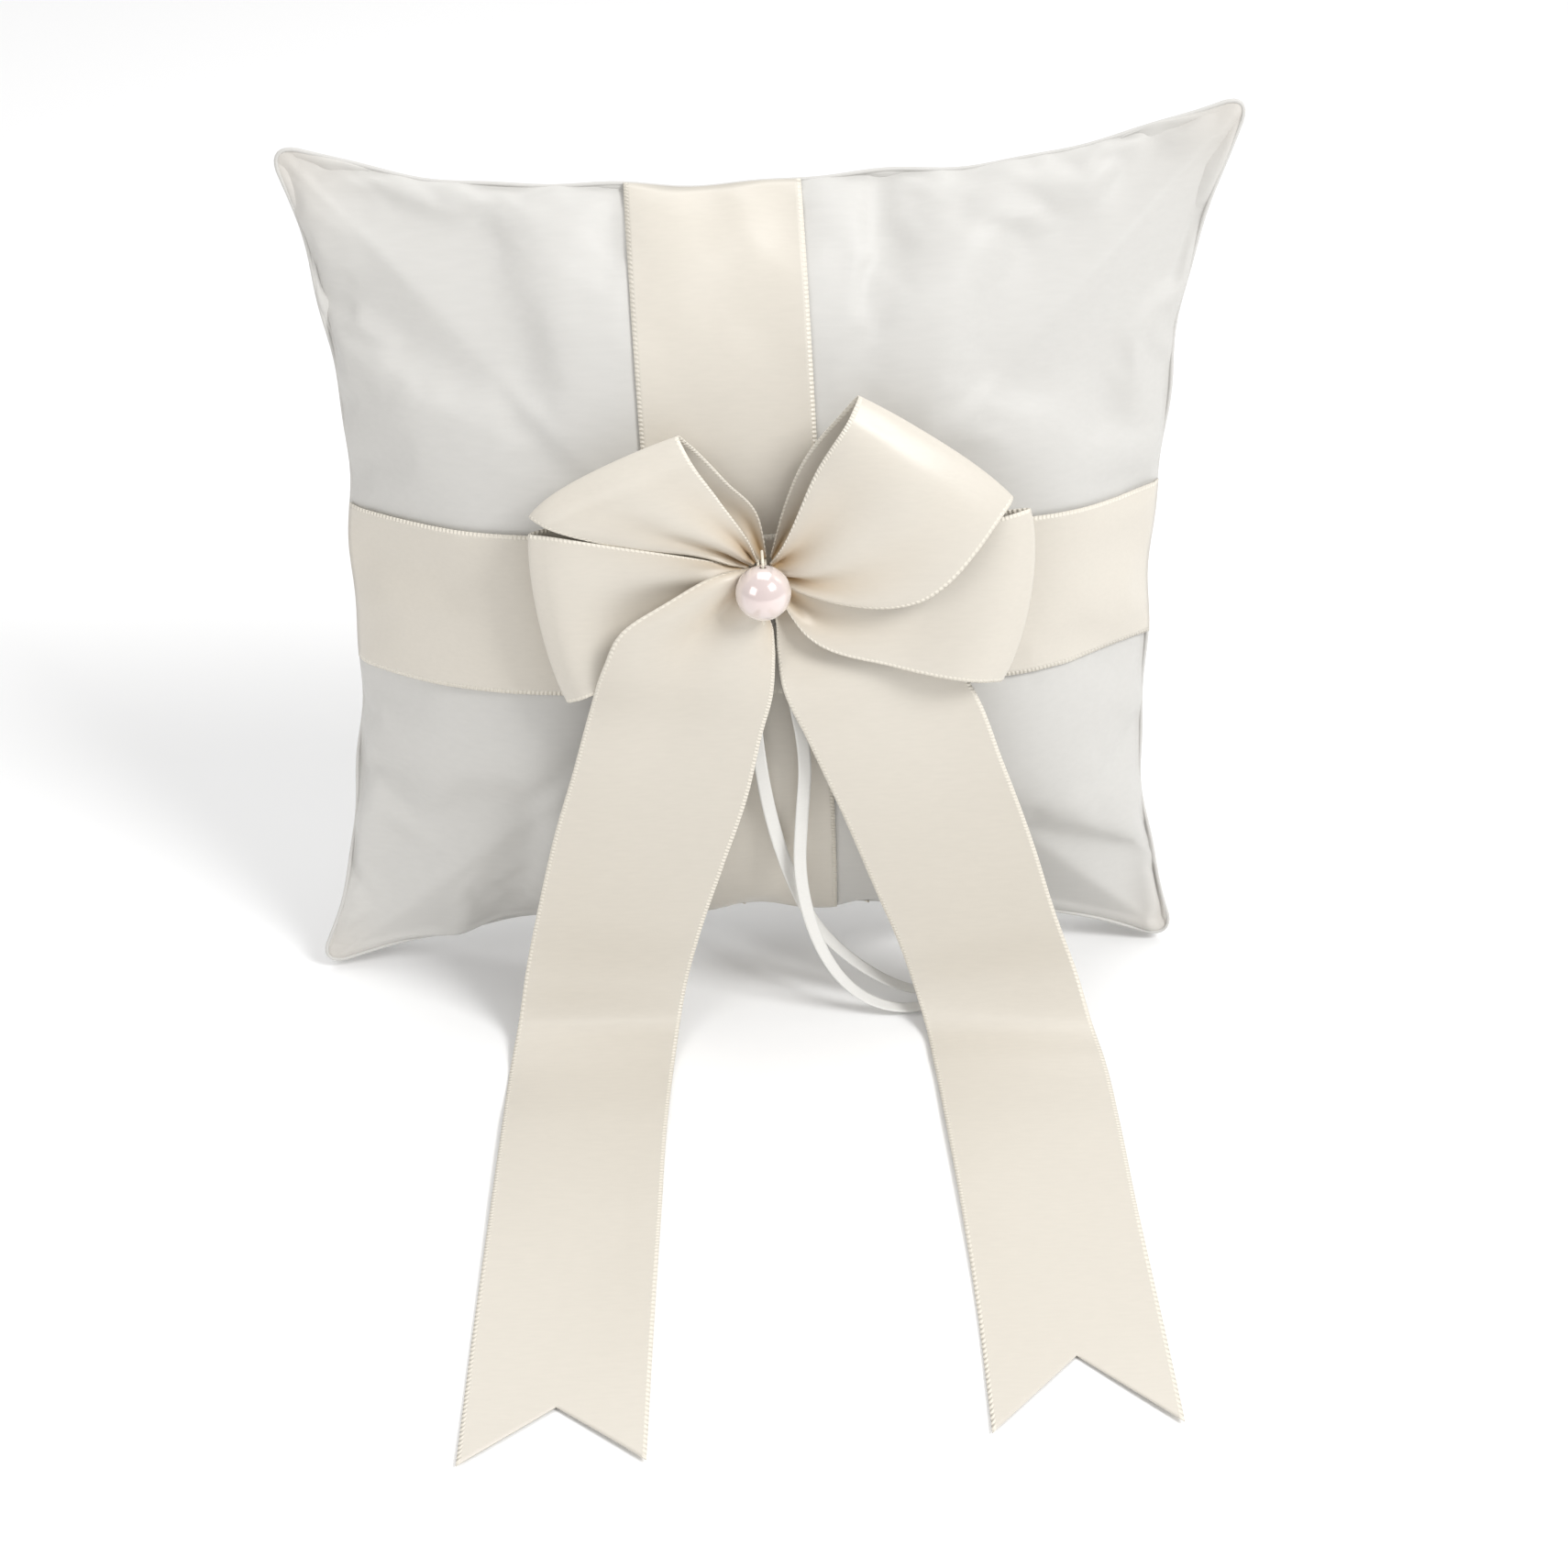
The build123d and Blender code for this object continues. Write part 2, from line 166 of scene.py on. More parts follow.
# --------------------------------------------------------------------------- curves and meshes
def smooth_rail(points: np.ndarray, knots: np.ndarray, at: np.ndarray) -> np.ndarray:
    """Pass a smooth curve through points.

    Args:
        points: The points, one to a row.
        knots: The parameter of each point, rising.
        at: The parameters to evaluate, of any shape.

    Returns:
        Points with the shape of at, plus one axis.
    """
    slope = np.empty_like(points)
    steps = np.diff(knots)[:, None]
    chords = np.diff(points, axis=0) / steps
    slope[0], slope[-1] = chords[0], chords[-1]
    slope[1:-1] = (chords[:-1] * steps[1:] + chords[1:] * steps[:-1]) / (steps[1:] + steps[:-1])
    index = np.clip(np.searchsorted(knots, at, side="right") - 1, 0, len(knots) - 2)
    span = (knots[index + 1] - knots[index])[..., None]
    u = (at - knots[index])[..., None] / span
    a, b = points[index], points[index + 1]
    return (
        a * (2 * u**3 - 3 * u**2 + 1)
        + slope[index] * span * (u**3 - 2 * u**2 + u)
        + b * (-2 * u**3 + 3 * u**2)
        + slope[index + 1] * span * (u**3 - u**2)
    )


def chord_knots(rails: Sequence[np.ndarray]) -> np.ndarray:
    """Distances along the mean of several rails.

    Args:
        rails: Rails with the same number of points.

    Returns:
        The distance of each point along their mean, from 0.
    """
    mean = sum(rails) / len(rails)
    return np.concatenate([[0.0], np.cumsum(np.linalg.norm(np.diff(mean, axis=0), axis=1))])


def grid_normals(grid: np.ndarray) -> np.ndarray:
    """Unit normals of a grid of points.

    Args:
        grid: Array of rows by columns by 3.

    Returns:
        Normals of the same shape.
    """
    along = np.gradient(grid, axis=0)
    across = np.gradient(grid, axis=1)
    normal = np.cross(across, along)
    return normal / np.maximum(np.linalg.norm(normal, axis=2, keepdims=True), 1e-12)


def make_object(name: str, points: np.ndarray, faces: Sequence[Sequence[int]]) -> bpy.types.Object:
    """Make a smooth mesh object.

    Args:
        name: Its name.
        points: Vertices, one to a row.
        faces: Vertex indices of each face.

    Returns:
        The new object, linked to the scene.
    """
    mesh = bpy.data.meshes.new(name)
    mesh.from_pydata([tuple(p) for p in points], [], [tuple(f) for f in faces])
    mesh.polygons.foreach_set("use_smooth", [True] * len(mesh.polygons))
    mesh.update()
    piece = bpy.data.objects.new(name, mesh)
    bpy.context.scene.collection.objects.link(piece)
    return piece


def grid_object(name: str, grid: np.ndarray, lengths: np.ndarray) -> bpy.types.Object:
    """Make a mesh from a grid, with a UV map of metres along and share across.

    Args:
        name: Its name.
        grid: Rows along by columns across by 3.
        lengths: Distance along of every row.

    Returns:
        The new object.
    """
    rows, columns = grid.shape[:2]
    faces = [
        (r * columns + c, r * columns + c + 1, (r + 1) * columns + c + 1, (r + 1) * columns + c)
        for r in range(rows - 1)
        for c in range(columns - 1)
    ]
    piece = make_object(name, grid.reshape(-1, 3), faces)
    layer = piece.data.uv_layers.new(name="UVMap")
    vertex = np.empty(len(piece.data.loops), int)
    piece.data.loops.foreach_get("vertex_index", vertex)
    uv = np.stack([lengths[vertex // columns], (vertex % columns) / (columns - 1)], axis=1)
    layer.data.foreach_set("uv", uv.astype(np.float32).ravel())
    return piece


def set_attribute(piece: bpy.types.Object, name: str, values: np.ndarray) -> None:
    """Store a number on every vertex.

    Args:
        piece: A mesh object.
        name: The attribute's name.
        values: One value for each vertex.
    """
    layer = piece.data.attributes.new(name, "FLOAT", "POINT")
    layer.data.foreach_set("value", np.asarray(values, np.float32).ravel())


def thicken(piece: bpy.types.Object, thickness: float) -> None:
    """Give a sheet its thickness, about its middle.

    Args:
        piece: A mesh object.
        thickness: In metres.
    """
    solid = piece.modifiers.new("thickness", "SOLIDIFY")
    solid.thickness = thickness
    solid.offset = 0.0


def tube_object(name: str, path: np.ndarray, radius: float, closed: bool = False) -> bpy.types.Object:
    """Make a round tube along a path.

    Args:
        name: Its name.
        path: Points of the centreline.
        radius: In metres.
        closed: Whether the path closes on itself.

    Returns:
        The new object.
    """
    sides = 8
    if closed:
        ahead, behind = np.roll(path, -1, axis=0), np.roll(path, 1, axis=0)
        tangent = ahead - behind
    else:
        tangent = np.gradient(path, axis=0)
    tangent /= np.linalg.norm(tangent, axis=1, keepdims=True)
    side = np.cross(tangent, SeamPlane.out)
    weak = np.linalg.norm(side, axis=1) < 0.2
    side[weak] = np.cross(tangent[weak], SeamPlane.across)
    side /= np.linalg.norm(side, axis=1, keepdims=True)
    lift = np.cross(side, tangent)
    turns = np.linspace(0, 2 * math.pi, sides, endpoint=False)
    rings = path[:, None] + radius * (
        np.cos(turns)[None, :, None] * side[:, None] + np.sin(turns)[None, :, None] * lift[:, None]
    )
    count = len(path)
    faces = []
    for ring in range(count if closed else count - 1):
        nxt = (ring + 1) % count
        for s in range(sides):
            t = (s + 1) % sides
            faces.append((ring * sides + s, ring * sides + t, nxt * sides + t, nxt * sides + s))
    if not closed:
        faces.append(tuple(range(sides)))
        faces.append(tuple((count - 1) * sides + s for s in reversed(range(sides))))
    return make_object(name, rings.reshape(-1, 3), faces)


# --------------------------------------------------------------------------- materials
@dataclass(frozen=True)
class SatinFinish:
    """A woven satin: its colours, gloss and weave."""

    name: str
    slot: Slot
    base: tuple[float, float, float]
    # colour painted in as shade wherever the crease attribute is high
    shade_colour: tuple[float, float, float]
    roughness: float = 0.42
    specular: float = 0.5
    anisotropic: float = 0.5
    sheen: float = 0.12
    weave_scale: float = 1600.0
    weave_depth: float = 0.05
    selvedge: bool = False


@dataclass(frozen=True)
class PearlFinish:
    """A pearlescent lacquer."""

    name: str
    slot: Slot
    base: tuple[float, float, float]
    tint: tuple[float, float, float]
    roughness: float = 0.16
    coat: float = 0.9


@dataclass(frozen=True)
class PlainFinish:
    """One colour with one roughness."""

    name: str
    slot: Optional[Slot]
    base: tuple[float, float, float]
    roughness: float = 0.6


# Each satin's second colour is painted shade: deep golden for the ribbon's creases, warm for the
# cover's ears.
COVER = SatinFinish(
    "cover_satin", Slot.COVER, (0.585, 0.575, 0.550), (0.60, 0.53, 0.45),
    roughness=0.56, weave_scale=900.0, weave_depth=0.06, sheen=0.1,
)
RIBBON = SatinFinish(
    "ribbon_satin", Slot.RIBBON, (0.640, 0.600, 0.530), (0.52, 0.34, 0.14),
    roughness=0.38, anisotropic=0.6, weave_scale=1500.0, weave_depth=0.04, selvedge=True,
)
NARROW = SatinFinish(
    "narrow_satin", Slot.NARROW, (0.74, 0.73, 0.70), (0.62, 0.54, 0.42),
    roughness=0.38, weave_scale=2200.0, weave_depth=0.03,
)
PEARL = PearlFinish("pearl_lacquer", Slot.PEARL, (0.86, 0.81, 0.775), (0.74, 0.62, 0.60))
THREAD = PlainFinish("thread", Slot.THREAD, (0.78, 0.73, 0.62))
FLOOR = PlainFinish("studio_floor", None, (0.93, 0.93, 0.93), roughness=0.9)


class NodeGroups:
    """Shared shader effects, each built once as a node group."""

    def __init__(self) -> None:
        """Start with no groups made."""
        self._made: dict[str, bpy.types.NodeTree] = {}

    @staticmethod
    def _socket(tree: bpy.types.NodeTree, name: str, way: str, kind: str, value=None) -> None:
        """Add a socket to a group's interface.

        Args:
            tree: The group.
            name: The socket's name.
            way: INPUT or OUTPUT.
            kind: The socket type.
            value: Its default, if any.
        """
        socket = tree.interface.new_socket(name=name, in_out=way, socket_type=kind)
        if value is not None:
            socket.default_value = value

    def weave(self) -> bpy.types.NodeTree:
        """A satin weave: fine floats of yarn with a soft, uneven tone.

        Returns:
            A group with Tone and Normal outputs.
        """
        if "weave" in self._made:
            return self._made["weave"]
        tree = bpy.data.node_groups.new("satin_weave", "ShaderNodeTree")
        self._socket(tree, "Vector", "INPUT", "NodeSocketVector")
        self._socket(tree, "Scale", "INPUT", "NodeSocketFloat", 1200.0)
        self._socket(tree, "Depth", "INPUT", "NodeSocketFloat", 0.05)
        self._socket(tree, "Tone", "OUTPUT", "NodeSocketFloat")
        self._socket(tree, "Normal", "OUTPUT", "NodeSocketVector")
        nodes, links = tree.nodes, tree.links
        entry, leave = nodes.new("NodeGroupInput"), nodes.new("NodeGroupOutput")
        stretch = nodes.new("ShaderNodeMapping")
        stretch.inputs["Scale"].default_value = (0.18, 1.0, 1.0)
        yarn = nodes.new("ShaderNodeTexNoise")
        yarn.inputs["Detail"].default_value = 2.0
        slub = nodes.new("ShaderNodeTexNoise")
        slub.inputs["Scale"].default_value = 26.0
        slub.inputs["Detail"].default_value = 3.0
        mix = nodes.new("ShaderNodeMath")
        mix.operation = "MULTIPLY_ADD"
        mix.inputs[1].default_value = 0.35
        bump = nodes.new("ShaderNodeBump")
        bump.inputs["Distance"].default_value = 0.0004
        links.new(entry.outputs["Vector"], stretch.inputs["Vector"])
        links.new(stretch.outputs["Vector"], yarn.inputs["Vector"])
        links.new(entry.outputs["Scale"], yarn.inputs["Scale"])
        links.new(entry.outputs["Vector"], slub.inputs["Vector"])
        links.new(slub.outputs["Fac"], mix.inputs[0])
        links.new(yarn.outputs["Fac"], mix.inputs[2])
        links.new(yarn.outputs["Fac"], bump.inputs["Height"])
        links.new(entry.outputs["Depth"], bump.inputs["Strength"])
        links.new(mix.outputs["Value"], leave.inputs["Tone"])
        links.new(bump.outputs["Normal"], leave.inputs["Normal"])
        self._made["weave"] = tree
        return tree

    def selvedge(self) -> bpy.types.NodeTree:
        """The corded edge of a woven ribbon, from its UV map.

        Returns:
            A group with a Mask output, 1 along the two edges and broken by the cords.
        """
        if "selvedge" in self._made:
            return self._made["selvedge"]
        tree = bpy.data.node_groups.new("ribbon_selvedge", "ShaderNodeTree")
        self._socket(tree, "UV", "INPUT", "NodeSocketVector")
        self._socket(tree, "Mask", "OUTPUT", "NodeSocketFloat")
        self._socket(tree, "Cord", "OUTPUT", "NodeSocketFloat")
        nodes, links = tree.nodes, tree.links
        entry, leave = nodes.new("NodeGroupInput"), nodes.new("NodeGroupOutput")
        parts = nodes.new("ShaderNodeSeparateXYZ")
        centre = nodes.new("ShaderNodeMath")
        centre.operation = "SUBTRACT"
        centre.inputs[1].default_value = 0.5
        size = nodes.new("ShaderNodeMath")
        size.operation = "ABSOLUTE"
        edge = nodes.new("ShaderNodeMapRange")
        edge.inputs["From Min"].default_value = 0.474
        edge.inputs["From Max"].default_value = 0.482
        ribs = nodes.new("ShaderNodeMath")
        ribs.operation = "MULTIPLY"
        ribs.inputs[1].default_value = 2 * math.pi / (0.95 * MM)
        wave = nodes.new("ShaderNodeMath")
        wave.operation = "SINE"
        both = nodes.new("ShaderNodeMath")
        both.operation = "MULTIPLY"
        links.new(entry.outputs["UV"], parts.inputs["Vector"])
        links.new(parts.outputs["Y"], centre.inputs[0])
        links.new(centre.outputs["Value"], size.inputs[0])
        links.new(size.outputs["Value"], edge.inputs["Value"])
        links.new(parts.outputs["X"], ribs.inputs[0])
        links.new(ribs.outputs["Value"], wave.inputs[0])
        links.new(wave.outputs["Value"], both.inputs[0])
        links.new(edge.outputs["Result"], both.inputs[1])
        links.new(edge.outputs["Result"], leave.inputs["Mask"])
        links.new(both.outputs["Value"], leave.inputs["Cord"])
        self._made["selvedge"] = tree
        return tree


class Paint:
    """Builds each material once."""

    def __init__(self) -> None:
        """Start with no materials made."""
        self.groups = NodeGroups()
        self._made: dict[str, bpy.types.Material] = {}

    def _fresh(self, name: str) -> tuple[bpy.types.Material, bpy.types.NodeTree, bpy.types.Node]:
        """Start a material.

        Args:
            name: Its name.

        Returns:
            The material, its node tree and its Principled shader.
        """
        material = bpy.data.materials.new(name)
        material.use_nodes = True
        tree = material.node_tree
        tree.nodes.clear()
        shader = tree.nodes.new("ShaderNodeBsdfPrincipled")
        output = tree.nodes.new("ShaderNodeOutputMaterial")
        tree.links.new(shader.outputs["BSDF"], output.inputs["Surface"])
        return material, tree, shader

    def satin(self, finish: SatinFinish) -> bpy.types.Material:
        """Build a satin.

        Args:
            finish: Its colours, gloss and weave.

        Returns:
            The material.
        """
        material, tree, shader = self._fresh(finish.name)
        nodes, links = tree.nodes, tree.links
        place = nodes.new("ShaderNodeTexCoord")
        weave = nodes.new("ShaderNodeGroup")
        weave.node_tree = self.groups.weave()
        weave.inputs["Scale"].default_value = finish.weave_scale
        weave.inputs["Depth"].default_value = finish.weave_depth
        links.new(place.outputs["Object"], weave.inputs["Vector"])
        shaded = nodes.new("ShaderNodeMix")
        shaded.data_type = "RGBA"
        shaded.inputs["A"].default_value = (*(c * 0.965 for c in finish.base), 1)
        shaded.inputs["B"].default_value = (*(min(c * 1.03, 1) for c in finish.base), 1)
        links.new(weave.outputs["Tone"], shaded.inputs["Factor"])
        # Painted shade: the crease attribute mixes the colour towards the finish's shade colour.
        crease = nodes.new("ShaderNodeAttribute")
        crease.attribute_name = "crease"
        folded = nodes.new("ShaderNodeMix")
        folded.data_type = "RGBA"
        folded.inputs["B"].default_value = (*finish.shade_colour, 1)
        links.new(crease.outputs["Fac"], folded.inputs["Factor"])
        links.new(shaded.outputs["Result"], folded.inputs["A"])
        colour, normal = folded.outputs["Result"], weave.outputs["Normal"]
        if finish.selvedge:
            edge = nodes.new("ShaderNodeGroup")
            edge.node_tree = self.groups.selvedge()
            links.new(place.outputs["UV"], edge.inputs["UV"])
            # Painted highlight: both corded edges are lightened towards pale cream.
            lit = nodes.new("ShaderNodeMix")
            lit.data_type = "RGBA"
            lit.inputs["B"].default_value = (0.90, 0.85, 0.74, 1)
            gain = nodes.new("ShaderNodeMath")
            gain.operation = "MULTIPLY"
            gain.inputs[1].default_value = 0.55
            links.new(edge.outputs["Mask"], gain.inputs[0])
            links.new(gain.outputs["Value"], lit.inputs["Factor"])
            links.new(colour, lit.inputs["A"])
            cords = nodes.new("ShaderNodeBump")
            cords.inputs["Strength"].default_value = 0.5
            cords.inputs["Distance"].default_value = 0.0002
            links.new(edge.outputs["Cord"], cords.inputs["Height"])
            links.new(normal, cords.inputs["Normal"])
            colour, normal = lit.outputs["Result"], cords.outputs["Normal"]
        links.new(colour, shader.inputs["Base Color"])
        links.new(normal, shader.inputs["Normal"])
        shader.inputs["Roughness"].default_value = finish.roughness
        shader.inputs["Specular IOR Level"].default_value = finish.specular
        shader.inputs["Anisotropic"].default_value = finish.anisotropic
        shader.inputs["Sheen Weight"].default_value = finish.sheen
        shader.inputs["Sheen Roughness"].default_value = 0.4
        return material

    def pearl(self, finish: PearlFinish) -> bpy.types.Material:
        """Build the pearl's lacquer.

        Args:
            finish: Its colours and gloss.

        Returns:
            The material.
        """
        material, tree, shader = self._fresh(finish.name)
        nodes, links = tree.nodes, tree.links
        facing = nodes.new("ShaderNodeLayerWeight")
        facing.inputs["Blend"].default_value = 0.35
        tint = nodes.new("ShaderNodeMix")
        tint.data_type = "RGBA"
        tint.inputs["A"].default_value = (*finish.tint, 1)
        tint.inputs["B"].default_value = (*finish.base, 1)
        links.new(facing.outputs["Facing"], tint.inputs["Factor"])
        links.new(tint.outputs["Result"], shader.inputs["Base Color"])
        shader.inputs["Roughness"].default_value = finish.roughness
        shader.inputs["Coat Weight"].default_value = finish.coat
        shader.inputs["Coat Roughness"].default_value = 0.08
        shader.inputs["Metallic"].default_value = 0.25
        return material

    def plain(self, finish: PlainFinish) -> bpy.types.Material:
        """Build a plain colour.

        Args:
            finish: Its colour and roughness.

        Returns:
            The material.
        """
        material, _, shader = self._fresh(finish.name)
        shader.inputs["Base Color"].default_value = (*finish.base, 1)
        shader.inputs["Roughness"].default_value = finish.roughness
        return material

    def apply(self, piece: bpy.types.Object, finish) -> None:
        """Give a piece its finish's material.

        Args:
            piece: A mesh or curve object.
            finish: One of the finishes above.
        """
        if finish.name not in self._made:
            build: Callable = {
                SatinFinish: self.satin, PearlFinish: self.pearl, PlainFinish: self.plain,
            }[type(finish)]
            self._made[finish.name] = build(finish)
        piece.data.materials.clear()
        piece.data.materials.append(self._made[finish.name])


# --------------------------------------------------------------------------- cushion
@dataclass
class Cushion:
    """The stuffed cover: a grid for each panel, joined along the seam and blown up as cloth."""

    paint: Paint
    cells: int = 84
    pressure: float = 4.0
    slack: float = -0.035
    travel: float = 3.2 * MM
    frames: int = 20
    piece: Optional[bpy.types.Object] = None
    rim: list[int] = field(default_factory=list)

    def _panel_tree(self, node: str) -> BVHTree:
        """A search tree of a CAD panel.

        Args:
            node: The panel's node.

        Returns:
            The tree.
        """
        mesh = frame["nodes"][node].data
        return BVHTree.FromPolygons(
            [v.co.copy() for v in mesh.vertices], [tuple(p.vertices) for p in mesh.polygons]
        )

    def _edges(self) -> dict[str, np.ndarray]:
        """The four edges of the seam outline, found on the front panel's rim.

        Returns:
            Corners and edge middles as (x, height), in metres.
        """
        mesh = frame["nodes"]["front_panel"].data
        points = SeamPlane.to_local(np.array([v.co[:] for v in mesh.vertices]))
        rim = points[points[:, 2] < 0.6 * MM][:, :2]
        found = {}
        for name, sx, sz in (("bl", -1, -1), ("br", 1, -1), ("tl", -1, 1), ("tr", 1, 1)):
            found[name] = rim[np.argmax(rim @ np.array([sx, sz], float))]
            found[name] = found[name] + np.array([sx, max(sz, 0)]) * EAR_REACH
        for name, a, b, inward in (
            ("bottom", "bl", "br", (0, 1)), ("top", "tl", "tr", (0, -1)),
            ("left", "bl", "tl", (1, 0)), ("right", "br", "tr", (-1, 0)),
        ):
            found[name] = (found[a] + found[b]) / 2 + np.array(inward) * EDGE_PULL
        return found

    @staticmethod
    def _edge(start: np.ndarray, middle: np.ndarray, end: np.ndarray, at: np.ndarray,
              wave: float) -> np.ndarray:
        """An edge that the filling draws in, a little uneven.

        Args:
            start: First ear.
            middle: Middle of the edge.
            end: Second ear.
            at: Parameters from -1 to 1.
            wave: Phase of its unevenness.

        Returns:
            Points as (x, height).
        """
        chord = start + (end - start) * ((1 + at[..., None]) / 2)
        bow = middle - (start + end) / 2
        side = bow / max(np.linalg.norm(bow), 1e-9)
        fade = 1 - at**4
        uneven = (
            0.55 * np.sin(11.0 * at + wave) + 0.35 * np.sin(23.0 * at + 2.1 * wave)
        ) * MM * fade
        return chord + bow * (1 - np.abs(at) ** 3)[..., None] + side * uneven[..., None]

    @staticmethod
    def _rounded(u: np.ndarray, v: np.ndarray) -> tuple[np.ndarray, np.ndarray]:
        """Round the four corners of the square the cushion is mapped from.

        Args:
            u: Across, from -1 to 1.
            v: Up, from -1 to 1.

        Returns:
            The same points with each corner region squeezed into a quarter circle.
        """
        near_u = np.clip((np.abs(u) - 1 + EAR_ROUNDING) / EAR_ROUNDING, 0, 1)
        near_v = np.clip((np.abs(v) - 1 + EAR_ROUNDING) / EAR_ROUNDING, 0, 1)
        larger = np.maximum(near_u, near_v)
        smaller = np.minimum(near_u, near_v)
        angle = smaller / np.maximum(larger, 1e-9) * np.pi / 4
        long, short = larger * np.cos(angle), larger * np.sin(angle)
        new_u = np.where(near_u >= near_v, long, short)
        new_v = np.where(near_u >= near_v, short, long)
        return (
            u + np.sign(u) * (new_u - near_u) * EAR_ROUNDING,
            v + np.sign(v) * (new_v - near_v) * EAR_ROUNDING,
        )

    def outline(self, u: np.ndarray, v: np.ndarray) -> np.ndarray:
        """Map the unit square onto the cushion's outline.

        Args:
            u: Across, from -1 to 1.
            v: Up, from -1 to 1.

        Returns:
            Points as (x, height).
        """
        e = self._edges()
        u, v = self._rounded(u, v)
        bottom = self._edge(e["bl"], e["bottom"], e["br"], u, 0.6)
        top = self._edge(e["tl"], e["top"], e["tr"], u, 2.4)
        left = self._edge(e["bl"], e["left"], e["tl"], v, 4.0)
        right = self._edge(e["br"], e["right"], e["tr"], v, 1.3)
        s, t = ((1 + u) / 2)[..., None], ((1 + v) / 2)[..., None]
        corners = (
            (1 - s) * (1 - t) * e["bl"] + s * (1 - t) * e["br"]
            + (1 - s) * t * e["tl"] + s * t * e["tr"]
        )
        return (1 - t) * bottom + t * top + (1 - s) * left + s * right - corners

    def build(self) -> bpy.types.Object:
        """Make the cushion.

        Returns:
            The cover, closed along its seam.
        """
        count = self.cells + 1
        line = np.linspace(-1, 1, count)
        line = np.sin(line * math.pi / 2) * 0.35 + line * 0.65
        u, v = np.meshgrid(line, line, indexing="xy")
        flat = self.outline(u, v)
        points, index = [], {}
        inner = np.zeros((count, count), bool)
        inner[1:-1, 1:-1] = True
        grids = {}
        for side, node in ((1, "front_panel"), (-1, "back_panel")):
            tree = self._panel_tree(node)
            numbers = np.zeros((count, count), int)
            for r in range(count):
                for c in range(count):
                    if not inner[r, c] and (r, c) in index:
                        numbers[r, c] = index[r, c]
                        continue
                    x, height = flat[r, c]
                    depth = 0.0
                    if inner[r, c]:
                        start = SeamPlane.to_world(np.array([x, height, side * RAY_START]))
                        hit = tree.ray_cast(Vector(start), Vector(-side * SeamPlane.out))[0]
                        if hit is not None:
                            depth = SeamPlane.to_local(np.array(hit[:]))[2]
                    numbers[r, c] = len(points)
                    points.append(SeamPlane.to_world(np.array([x, height, depth])))
                    if not inner[r, c]:
                        index[r, c] = numbers[r, c]
            grids[side] = numbers
        faces = []
        for side, g in grids.items():
            for r in range(count - 1):
                for c in range(count - 1):
                    quad = (g[r, c], g[r, c + 1], g[r + 1, c + 1], g[r + 1, c])
                    faces.append(quad if side > 0 else quad[::-1])
        base = np.array(points)
        piece = make_object("cushion", base, faces)
        g = grids[1]
        self.rim = (
            list(g[0, :]) + list(g[1:, -1]) + list(g[-1, -2::-1]) + list(g[-2:0:-1, 0])
        )
        moved = self._simulate(piece, base)
        final = np.where(np.isfinite(moved), moved, base)
        final[:, 2] = np.maximum(final[:, 2], 0.15 * MM)
        piece.data.vertices.foreach_set("co", final.ravel())
        self._uv(piece, flat, grids)
        # painted shade towards the ears
        set_attribute(piece, "crease", self._ear_shade(final))
        rim_set = set(self.rim)
        sharp = [
            len(rim_set.intersection(edge.vertices)) == 2 for edge in piece.data.edges
        ]
        layer = piece.data.attributes.new("sharp_edge", "BOOLEAN", "EDGE")
        layer.data.foreach_set("value", sharp)
        crease = piece.data.attributes.new("crease_edge", "FLOAT", "EDGE")
        crease.data.foreach_set("value", [0.8 if s else 0.0 for s in sharp])
        piece.data.update()
        finer = piece.modifiers.new("smooth", "SUBSURF")
        finer.levels = finer.render_levels = 1
        self.piece = piece
        self.paint.apply(piece, COVER)
        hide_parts("front_panel", "back_panel", "fibre_fill")
        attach(piece, ROOT)
        return piece

    def _simulate(self, piece: bpy.types.Object, base: np.ndarray) -> np.ndarray:
        """Blow the cover up as cloth that is a little too large for its filling.

        Args:
            piece: The cover.
            base: Its vertices at the start.

        Returns:
            Its vertices after the simulation, capped in travel.
        """
        local = SeamPlane.to_local(base)
        low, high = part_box("pearl")
        bow = SeamPlane.to_local((np.array(low) + np.array(high)) / 2)
        away = np.hypot(local[:, 0] - bow[0], local[:, 1] - bow[1])
        free = np.clip((away - 30 * MM) / (35 * MM), 0, 1)
        free[local[:, 2] < 0] = 1.0
        free[self.rim] = 0.0
        group = piece.vertex_groups.new(name="held")
        for number in np.nonzero(free == 0.0)[0]:
            group.add([int(number)], 1.0, "REPLACE")
        cloth = piece.modifiers.new("cloth", "CLOTH")
        settings = cloth.settings
        settings.quality = 5
        settings.mass = 0.15
        settings.tension_stiffness = settings.compression_stiffness = 12
        settings.shear_stiffness = 6
        settings.bending_stiffness = 0.15
        settings.vertex_group_mass = "held"
        settings.use_pressure = True
        settings.uniform_pressure_force = self.pressure
        settings.shrink_min = self.slack
        settings.effector_weights.gravity = 0.0
        cloth.collision_settings.use_collision = False
        cloth.point_cache.frame_start, cloth.point_cache.frame_end = 1, self.frames
        scene = bpy.context.scene
        for number in range(1, self.frames + 1):
            scene.frame_set(number)
        graph = bpy.context.evaluated_depsgraph_get()
        result = piece.evaluated_get(graph).data
        moved = np.empty(len(base) * 3)
        result.vertices.foreach_get("co", moved)
        moved = moved.reshape(-1, 3)
        piece.modifiers.remove(cloth)
        scene.frame_set(1)
        step = moved - base
        length = np.linalg.norm(step, axis=1)
        keep = self.travel * np.tanh(length / self.travel) / np.maximum(length, 1e-9)
        return base + step * (keep * free)[:, None]

